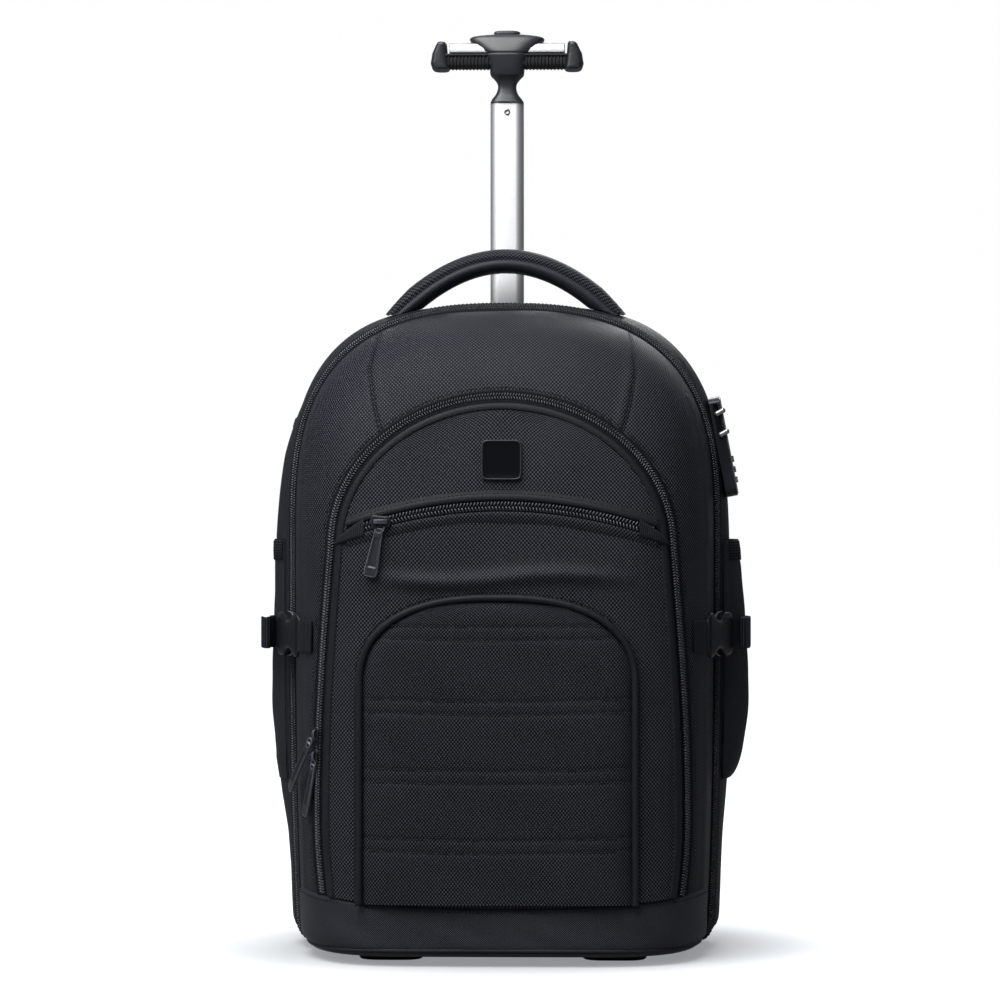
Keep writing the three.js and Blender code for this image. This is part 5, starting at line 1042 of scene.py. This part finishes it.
for label, side in SIDES:
    start = np.array([side_at(BUCKLE_START, STRAP_Z) + 3.5, BUCKLE_START])
    run = unit(BUCKLE_END - start)
    along = np.array([side * run[0], run[1], 0])
    outward = np.array([side * -run[1], run[0], 0])
    origin = np.array([side * start[0], start[1], STRAP_Z])
    plan = [(side_at(y, STRAP_Z) + 1.45, y - 0.85) for y in np.linspace(-84, -65, 6)]
    seat = origin - along * 0.95 + outward * 4.5
    plan.append((side * seat[0], seat[1]))
    standing_strap("strap_front_%s_webbing" % label, plan, side, "strap_front_" + label, 70)
    plan = []
    for y in (54.0, 50, 44, 38, 32, 26, 20, 14):
        pouch = max(bulge(label, y, STRAP_Z), bulge(label, y, STRAP_Z - 14))
        stand = 4.7 + pouch if y < SIDE_BACK else 2.82
        plan.append((side_at(y, STRAP_Z) + stand, y))
    standing_strap("strap_rear_%s_webbing" % label, plan + TAIL, side, "strap_rear_" + label, 120)
    for part, first, last in (("socket", 0.0, 25.4), ("plug", 26.0, 52.0)):
        name = "buckle_%s_%s" % (part, label)
        reach = np.linspace(first, last, 60)
        tall = np.pad(np.interp(reach, BUCKLE_SHAPE, BUCKLE_TALL), 3, mode="edge")
        tall = np.convolve(tall, np.ones(7) / 7, mode="valid")
        spine = origin + along * reach[:, None] + outward * 4.5
        thick = np.interp(reach, BUCKLE_STANDS, BUCKLE_THICK)
        solid(name + "_moulded", spine, UP, outward, tall, thick, enamel_black, power=7.0, around=40,
              slot="hard_black", instead_of=name)
        # Rods along the buckle's lower and upper edges in the paler grey: painted highlight.
        for edge, hand in (("low", -1), ("high", 1)):
            bead = spine + outward * 4.1 + hand * UP * (tall - 0.4)[:, None]
            solid("%s_bead_%s" % (name, edge), bead, np.cross(ways(bead), outward), outward, 0.85, 0.85,
                  painted_highlight_edge, around=12)
    # Bars across the buckle: real shapes, painted highlight in their paler grey colour.
    for bar, at in (("front", 12.0), ("rear", 33.0)):
        up = np.linspace(-12.5, 12.5, 30)[:, None]
        bow = origin + along * (at + 1.8 * (1 - (up / 12.5) ** 2)) + outward * 8.9 + UP * up
        solid("buckle_%s_bar_%s" % (label, bar), bow, along, outward, 1.0, 0.8, painted_highlight_edge, around=12)

# Combination lock: a zinc body that holds both main sliders, with three number dials that turn.
# A small toggle of the same zinc hangs on the other side.
BACK = np.array([0, 1.0, 0])
LOCK_LONG = 81.0
FIGURE_TALL = 3.4
DIAL_RADIUS = 5.27
dial_black = hard("dial_black", "dial_black", 1200.0, 0.01, 0.3, 1.0, 0.35, 0.00004)
silver = hard("silver", "gunmetal", 900.0, 0.22, 0.8, 0.5, 0.3, 0.00001, (1.03, 1.0), metal=0.8)
white_print = hard("white_print", "dial_black", 900.0, 0.7, 0.8, 0.1, 0.5, 0.00001, (1.0, 1.0))
moulding("lock_body", enamel_black, 0.8)
dials = ["dial_1", "dial_2", "dial_3"]
for dial in dials:
    moulding("lock_" + dial, dial_black, 0.35, body=dial)
for name in ("upper", "lower"):
    moulding("main_slider_" + name, gunmetal, 0.4)
centres = [np.mean(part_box("lock_" + dial), axis=0) * 1000 - (0, SHIFT * 1000, 0) for dial in dials]
lock_up = unit((centres[2] - centres[0]) * (1, 0, 1))
lock_out = np.array([lock_up[2], 0.0, -lock_up[0]])
lock_seat = centres[1] + lock_up * LOCK_LONG * 0.24 - lock_out * 6.8
for name, y in (("front", -10.4), ("rear", 10.4)):
    rim = lock_seat + lock_up * np.linspace(-39, 39, 40)[:, None] + lock_out * 9.3 + BACK * y
    solid("lock_rim_" + name, rim, BACK, lock_out, 0.9, 0.7, silver, around=12)
for name, rise in (("upper", 26.0), ("lower", 9.0)):
    share, full = rounded(14, 0.16)
    way = unit(lock_out + lock_up * 0.35)
    pin = lock_seat + lock_up * rise + lock_out * 3.0 - BACK * 11.9 + way * (share * 9.5)[:, None]
    solid("main_pull_" + name, pin, BACK, np.cross(way, BACK), 2.2 * full, 2.2 * full, silver, around=20)


def figure(digit):
    """Flat mesh of one plain figure, centred, one unit tall: its points and faces."""
    curve = bpy.data.curves.new("figure", "FONT")
    curve.body = str(digit)
    curve.align_x, curve.align_y = "CENTER", "CENTER"
    curve.resolution_u = 3
    holder = bpy.data.objects.new("figure", curve)
    shape = bpy.data.meshes.new_from_object(holder)
    points = np.array([tuple(vertex.co) for vertex in shape.vertices])
    faces = [tuple(face.vertices) for face in shape.polygons]
    bpy.data.objects.remove(holder)
    bpy.data.curves.remove(curve)
    bpy.data.meshes.remove(shape)
    return points, faces


figures = [figure(digit) for digit in range(10)]
for number, (dial, centre) in enumerate(zip(dials, centres), 1):
    digit_points, digit_faces = [], []
    for digit, (points, faces) in enumerate(figures):
        turn = 2 * np.pi * (digit + number) / 10
        radial = lock_out * np.cos(turn) + BACK * np.sin(turn)
        digit_faces += [tuple(len(digit_points) + i for i in face) for face in faces]
        across = np.cross(lock_up, radial)
        digit_points += list(centre + radial * DIAL_RADIUS + points[:, :1] * FIGURE_TALL * across
                             + points[:, 1:2] * FIGURE_TALL * lock_up)
    put("lock_%s_figures" % dial, digit_points, digit_faces, white_print, body=dial)
moulding("side_toggle", enamel_black, 0.8)

# Carry handle: a padded arch of woven nylon with a plain binding rolled under it, bar-tacked to the
# top of the bag at both ends. A bound rim runs behind it over the top of the bag.
HANDLE_HALF = 90.0
HANDLE_FOOT = 505.0
HANDLE_RISE = 46.0
HANDLE_Y = 25.0
HANDLE_WIDE, HANDLE_THICK = 15.0, 9.4
RIM_ROWS = ((40.0, -1.5), (40.6, 0.8), (43.0, 1.6), (47.0, 1.7), (50.0, 0.9), (50.8, -1.5))


def top_at(x, y):
    """Height of the bag's top at a point of its plan."""
    x, y = np.broadcast_arrays(x, y)
    half, top, side, crown = rear_edge(y.ravel())
    share = np.clip(np.abs(x.ravel()) / half, 0, 1) ** side
    return (SHOULDER + (top - SHOULDER) * (1 - share) ** (1 / crown)).reshape(x.shape)


share = np.linspace(-1, 1, 90)[:, None]
x = HANDLE_HALF * 1.02 * np.sin(np.pi / 2 * share)
z = HANDLE_FOOT + HANDLE_RISE * (1 - (x / HANDLE_HALF) ** 2)
handle_up = unit(places(2 * HANDLE_RISE * x / HANDLE_HALF ** 2, 0.0, 1.0))
foot_share = np.clip((np.abs(x) / HANDLE_HALF - 0.8) / 0.22, 0, 1)
angle = turns(56)
c, s = signed(np.cos(angle), 0.75), signed(np.sin(angle), 0.75)
pucker = 1 + 0.018 * np.sin(share * 71) * np.abs(share) ** 3
high = HANDLE_THICK * (1 - 0.25 * foot_share) * s * pucker
wide = HANDLE_WIDE * (c * (1 - 0.09 * np.exp(-(np.sin(angle) / 0.13) ** 2)) * pucker)
rings = places(x, HANDLE_Y, z) + handle_up * high[..., None] + BACK * wide[..., None]
rings[..., 2] = np.maximum(rings[..., 2], top_at(rings[..., 0], rings[..., 1]) + 0.6 + (s > 0) * 1.2)
handle = put("carry_handle_pad", rings, grid_faces(90, 56, True, True), ballistic_nylon,
             uv=np.stack([lengths(rings, 1), lengths(rings, 0)], -1), instead_of="carry_handle")
under = rings[2:-2][:, s < 0.05]
under_out = unit(under - rings[2:-2].mean(1, keepdims=True))
skin("carry_handle_binding", under + under_out * 0.5, plain_binding)
seam = places(x, HANDLE_Y - HANDLE_WIDE * 0.93, z + 1.2)[4:-4, 0]
sewn("carry_handle_stitches", frames_along(seam, 0 * seam - BACK, 3.2))
x = np.linspace(-88, 88, 90)
rim = np.array([places(x, y, top_at(x, y) + lift) for y, lift in RIM_ROWS])
skin("top_rim_band", rim[::-1], plain_binding)

# Back panel: thick foam under air mesh, sewn in channels, with a sleeve for the telescopic tubes.
PAD_EDGE = (150.0, 520.0, 2.4, 3.0)
PAD_FOOT = 30.0
PAD_FLAT = 64.7
PAD_THICK = 29.6
CHANNEL_HALF = 26
air_mesh = woven("air_mesh", "nylon", 0.0034, 0.0034, 0.003, 0.03, 0.3, 0.65, 0.0005, 0.1)
z = climb(PAD_FOOT, SHOULDER, PAD_EDGE[1], 90, 70)[:, None]
c = spread(121)
x = c * half_at(PAD_EDGE, np.maximum(z, 60))
pad_in = np.minimum((1 - np.abs(c)) * 150, np.minimum(z - PAD_FOOT, PAD_EDGE[1] - z))
pad_round = np.sqrt(np.clip(1 - (1 - np.clip(pad_in / 16, 0, 1)) ** 2, 0, 1))
pad_sewn = 3.2 * np.exp(-((np.abs(x) - CHANNEL_HALF) / 3.5) ** 2)
for row in (110, 185, 260, 335, 410):
    dip = 2.6 * np.exp(-((z - row - 0.12 * np.abs(x)) / 4) ** 2) * (np.abs(x) > CHANNEL_HALF)
    pad_sewn = np.maximum(pad_sewn, dip)
pad_back = PAD_FLAT + 0.1 + PAD_THICK * (0.15 + 0.85 * pad_round) - pad_sewn * pad_round
pad = np.concatenate([places(x, PAD_FLAT, z), places(x, pad_back, z)[:, ::-1]], axis=1)
ends = pad[[0, -1]].mean(1, keepdims=True) + 0 * pad[[0, -1]]
back_pad = skin("back_pad_mesh", np.concatenate([ends[:1], pad, ends[1:]]), air_mesh, wrap=True,
                instead_of="back_pad")
wheel_recess(back_pad)
opened(back_pad, (-0.0184, SHIFT + 0.064, 0.500), (0.0184, SHIFT + 0.0884, 0.53))

# Shoulder straps: contoured foam in woven nylon with bound edges, sewn to the top of the back
# panel, with webbing down to its foot.
RIGHT = np.array([1.0, 0, 0])
STRAP_HALF = 31
PAD_OUT = 94.6
STRAP_REACH = 27
# x, depth and height as shares of the panel's, width and thickness as shares of the full ones, tilt
HARNESS = [
    (0.62, -0.025, 0.925, 0.76, 0.6, 27), (0.65, 0.4, 0.934, 0.84, 0.9, 27), (0.7, 0.66, 0.914, 0.92, 1, 27),
    (0.77, 0.82, 0.87, 0.97, 1, 18), (0.84, 0.9, 0.82, 1, 1, 0), (0.84, 0.88, 0.69, 0.96, 1, 0),
    (0.78, 0.68, 0.58, 0.86, 0.95, 0), (0.72, 0.42, 0.5, 0.72, 0.8, 0),
]
for label, side in SIDES:
    x, y, z, wide, thick, tilt = smooth_path(HARNESS, 80).T
    path = places(side * PAD_EDGE[0] * x, PAD_OUT + STRAP_REACH * y, PAD_EDGE[1] * z)
    along = ways(path)
    tilt = np.radians(tilt)
    normal = unit(np.cross(along, places(side * np.cos(tilt), 0.0, -np.sin(tilt))))
    across = np.cross(normal, along)
    share, full = rounded(80, 0.04)
    pad = solid("shoulder_strap_%s_pad" % label, path, across, normal, STRAP_HALF * wide, 6 * thick * full,
                ballistic_nylon, power=3.0, around=48, instead_of="shoulder_strap_" + label)
    for edge, hand in (("inner", -1), ("outer", 1)):
        rim = path + across * (hand * STRAP_HALF * wide)[:, None]
        solid("shoulder_strap_%s_binding_%s" % (label, edge), rim, across, normal, 1.7, 2.3, plain_binding,
              around=14)
    x, y, z = path[-1]
    drop = [(x, y - 0.5, z - 4.8), (side * 115.5, 102.6, z * 0.72), (side * 120, 98.0, z * 0.48),
            (side * 123, 96.0, 98.4), (side * 123, 96.0, 82.4)]
    strap("shoulder_webbing_" + label, smooth_path(drop, 60), RIGHT, BACK, "strap_webbing_" + label)

# Wheels: moulded housings let into the foot of the back, each with a rubber-tyred wheel on a steel
# axle.
WHEEL_X, WHEEL_Y, WHEEL_RADIUS = 121.0, 72.0, 32.0
TYRE_HALF = [(24.5, 9), (25.5, 11), (27, 11.8), (29.5, 11), (31.4, 8.5), (32, 6), (32, 4.2), (30.9, 3.8),
             (30.9, 3.0), (32, 2.6)]
HUB_HALF = [(4.4, 11), (9, 11), (10, 9), (10.5, 5), (20, 4.5), (21.5, 7.5), (24.6, 8)]
rubber = hard("rubber", "rubber", 800.0, 0.012, 0.05, 0.6, 0.7, 0.0001, (1.0, 1.36), specular=0.3)
steel = hard("steel", "steel", 500.0, 0.35, 0.6, 0.6, 0.28, 0.00002, (1.02, 1.0), metal=1.0)


def turned(name, half, centre_x, material, **where):
    """Round body about the axle: one half's (radius, offset along it) pairs, mirrored and turned."""
    profile = np.array([(radius, -off) for radius, off in half] + half[::-1] + [(half[0][0], -half[0][1])])
    radius, off = profile.T[..., None]
    y, z = WHEEL_Y + radius * np.sin(turns(72)), WHEEL_RADIUS - radius * np.cos(turns(72))
    skin(name, places(centre_x + off, y, z), material, wrap=True, **where)


for label, side in SIDES:
    moulding("wheel_housing_" + label, hard_black, 1.2)
    moulding("axle_" + label, steel, 0.6)
    x, wheel = side * WHEEL_X, "wheel_" + label
    turned(wheel + "_tyre", TYRE_HALF, x, rubber, body=wheel, instead_of=wheel)
    turned(wheel + "_hub", HUB_HALF, x, hard_black, body=wheel)
    for k in range(5):
        turn = 2 * np.pi * k / 5
        way = np.array([0, np.sin(turn), -np.cos(turn)])
        spoke = np.array([x, WHEEL_Y, WHEEL_RADIUS]) + way * np.linspace(9.5, 22, 8)[:, None]
        solid("%s_spoke_%d" % (wheel, k), spoke, RIGHT, np.cross(way, RIGHT), 7.2, np.linspace(2.6, 3.6, 8),
              hard_black, power=4.0, around=16, body=wheel)

# Telescopic handle: three flat-oval tubes of drawn aluminium, one inside the next, with a screw in
# the top one.
SCREW_ROWS = [(2.5, 0.0), (2.5, 0.7), (2.2, 1.15), (1.3, 1.25), (1.2, 0.8), (0.5, 0.6), (0.0, 0.6)]
SCREW_Z = 677.0
aluminium = hard("aluminium", "aluminium", 900.0, 0.44, 0.52, 0.2, 0.6, 0.000002, (1.03, 1.0), metal=1.0)
for node, wide, deep, wall, low, high, body in (
    ("top_tube", 27.6, 15.0, 1.3, 215.0, 684.7, "top_stage"),
    ("middle_tube", 31.4, 18.8, 1.5, 50.0, 513.0, "middle_stage"),
    ("outer_tube", 35.2, 22.6, 1.5, 46.0, 512.0, "bag"),
):
    rings = []
    for inset, z in ((0, low + 0.4), (0, high - 0.4), (0.3, high), (wall - 0.3, high), (wall, high - 0.4),
                     (wall, low + 0.4), (wall - 0.3, low), (0.3, low), (0, low + 0.4)):
        angle, end = turns(96), deep / 2 - inset
        x = (wide / 2 - deep / 2) * np.sign(np.round(np.cos(angle), 9)) + end * np.cos(angle)
        rings.append(places(x, TUBE_Y + end * np.sin(angle), z))
    skin(node + "_drawn", np.array(rings), aluminium, wrap=True, body=body, instead_of=node)
radius, height = np.array(SCREW_ROWS).T[..., None]
screw = places(radius * np.cos(turns(28)), TUBE_Y - 7.55 - height, SCREW_Z + radius * np.sin(turns(28)))
skin("tube_screw_head", screw, steel, wrap=True, body="top_stage", instead_of="tube_screw")

# Grip: a moulded core over the tube, a silver bar through it, ribbed soft sleeves under the bar, end
# caps and the release button. Each row of the core is its height, half width and share of depth.
CORE = [
    (685, 13.8, 0.7), (688, 12.2, 0.66), (692, 9.2, 0.61), (697, 7.6, 0.58), (701, 8.3, 0.62),
    (704.5, 10.8, 0.78), (707, 13.2, 0.93), (709, 14.0, 0.98), (713, 14.4, 1.03), (719, 16.4, 1.07),
    (723.6, 18.9, 1.09), (724.6, 18.5, 1.05), (725.6, 20.6, 1.09), (728, 23.4, 1.06), (731, 26.2, 1.0),
    (734, 29.0, 0.93), (736.4, 30.6, 0.86), (738, 30.2, 0.8), (739.3, 27.4, 0.72), (740.3, 22, 0.6),
    (740.9, 17, 0.5),
]
CORE_TOP = 741.4
RIB_PITCH = 2.9
SLEEVE_Z = 718.4
# Pale grip edges from the edge tone: partly painted highlight on the dark grained plastic.
grip_plastic = hard("grip_plastic", "hard_black", 1300.0, 0.008, 0.16, 1.0, 0.3, 0.00014)
height, wide, deep = smooth_path(CORE, 110).T[..., None]
c, s = signed(np.cos(turns(72)), 0.6), signed(np.sin(turns(72)), 0.6)
core = places(wide * c, TUBE_Y + 13 * deep * s, height)
core_top = (core[-1:] - (0, TUBE_Y, 0)) * (0.7, 0.7, 1) + (0, TUBE_Y, 0.3)
foot, top = (places(0 * c, TUBE_Y, end)[None] for end in (CORE[0][0], CORE_TOP))
core = np.concatenate([foot, core, core_top, top])
skin("grip_core_moulded", core, grip_plastic, wrap=True, body="top_stage", instead_of="grip_core")
moulding("grip_bar", aluminium, 0.8, body="top_stage")
for label, side in SIDES:
    reach = np.linspace(12.0, 52.0, 240)
    rib = 1 - 0.13 * (0.5 + 0.5 * np.cos(2 * np.pi * reach / RIB_PITCH)) ** 0.6
    sleeve = places(side * reach, TUBE_Y, SLEEVE_Z)
    solid("grip_sleeve_%s_ribbed" % label, sleeve, BACK, UP, 11.4 * rib, 6.0 * rib, rubber, power=3.6,
          around=36, body="top_stage", instead_of="grip_sleeve_" + label)
    lip = places(side * np.linspace(14, 52, 12), TUBE_Y, SLEEVE_Z + 5)
    solid("grip_sleeve_%s_lip" % label, lip, BACK, UP, 11.5, 1.35, rubber, power=4.0, around=30,
          body="top_stage")
    share, full = rounded(40, 0.12)
    inner = np.interp(share, [0, 0.5, 0.56, 1], [46.8, 48.4, 49.0, 49.8])
    outer = np.interp(share, [0, 0.25, 0.6, 1], [61.0, 63.0, 61.6, 57.0])
    cap = places(side * (inner + outer) / 2, TUBE_Y, 711.0 + 24.2 * share)
    solid("grip_cap_%s_moulded" % label, cap, side * RIGHT, BACK, (outer - inner) / 2 * (0.6 + 0.4 * full),
          12.8 * (0.45 + 0.55 * full), grip_plastic, power=3.4, around=44, body="top_stage",
          instead_of="grip_cap_" + label)
share, full = rounded(14, 0.45)
full = np.where(share < 0.5, 1, full)
button = places(0.0, TUBE_Y, 739.2 + share * 5.3)
solid("release_button_moulded", button, RIGHT, BACK, 4.5 + 6.5 * full, 2 + 5 * full, grip_plastic, power=3.6,
      around=48, body="button", instead_of="release_button")

low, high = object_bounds()
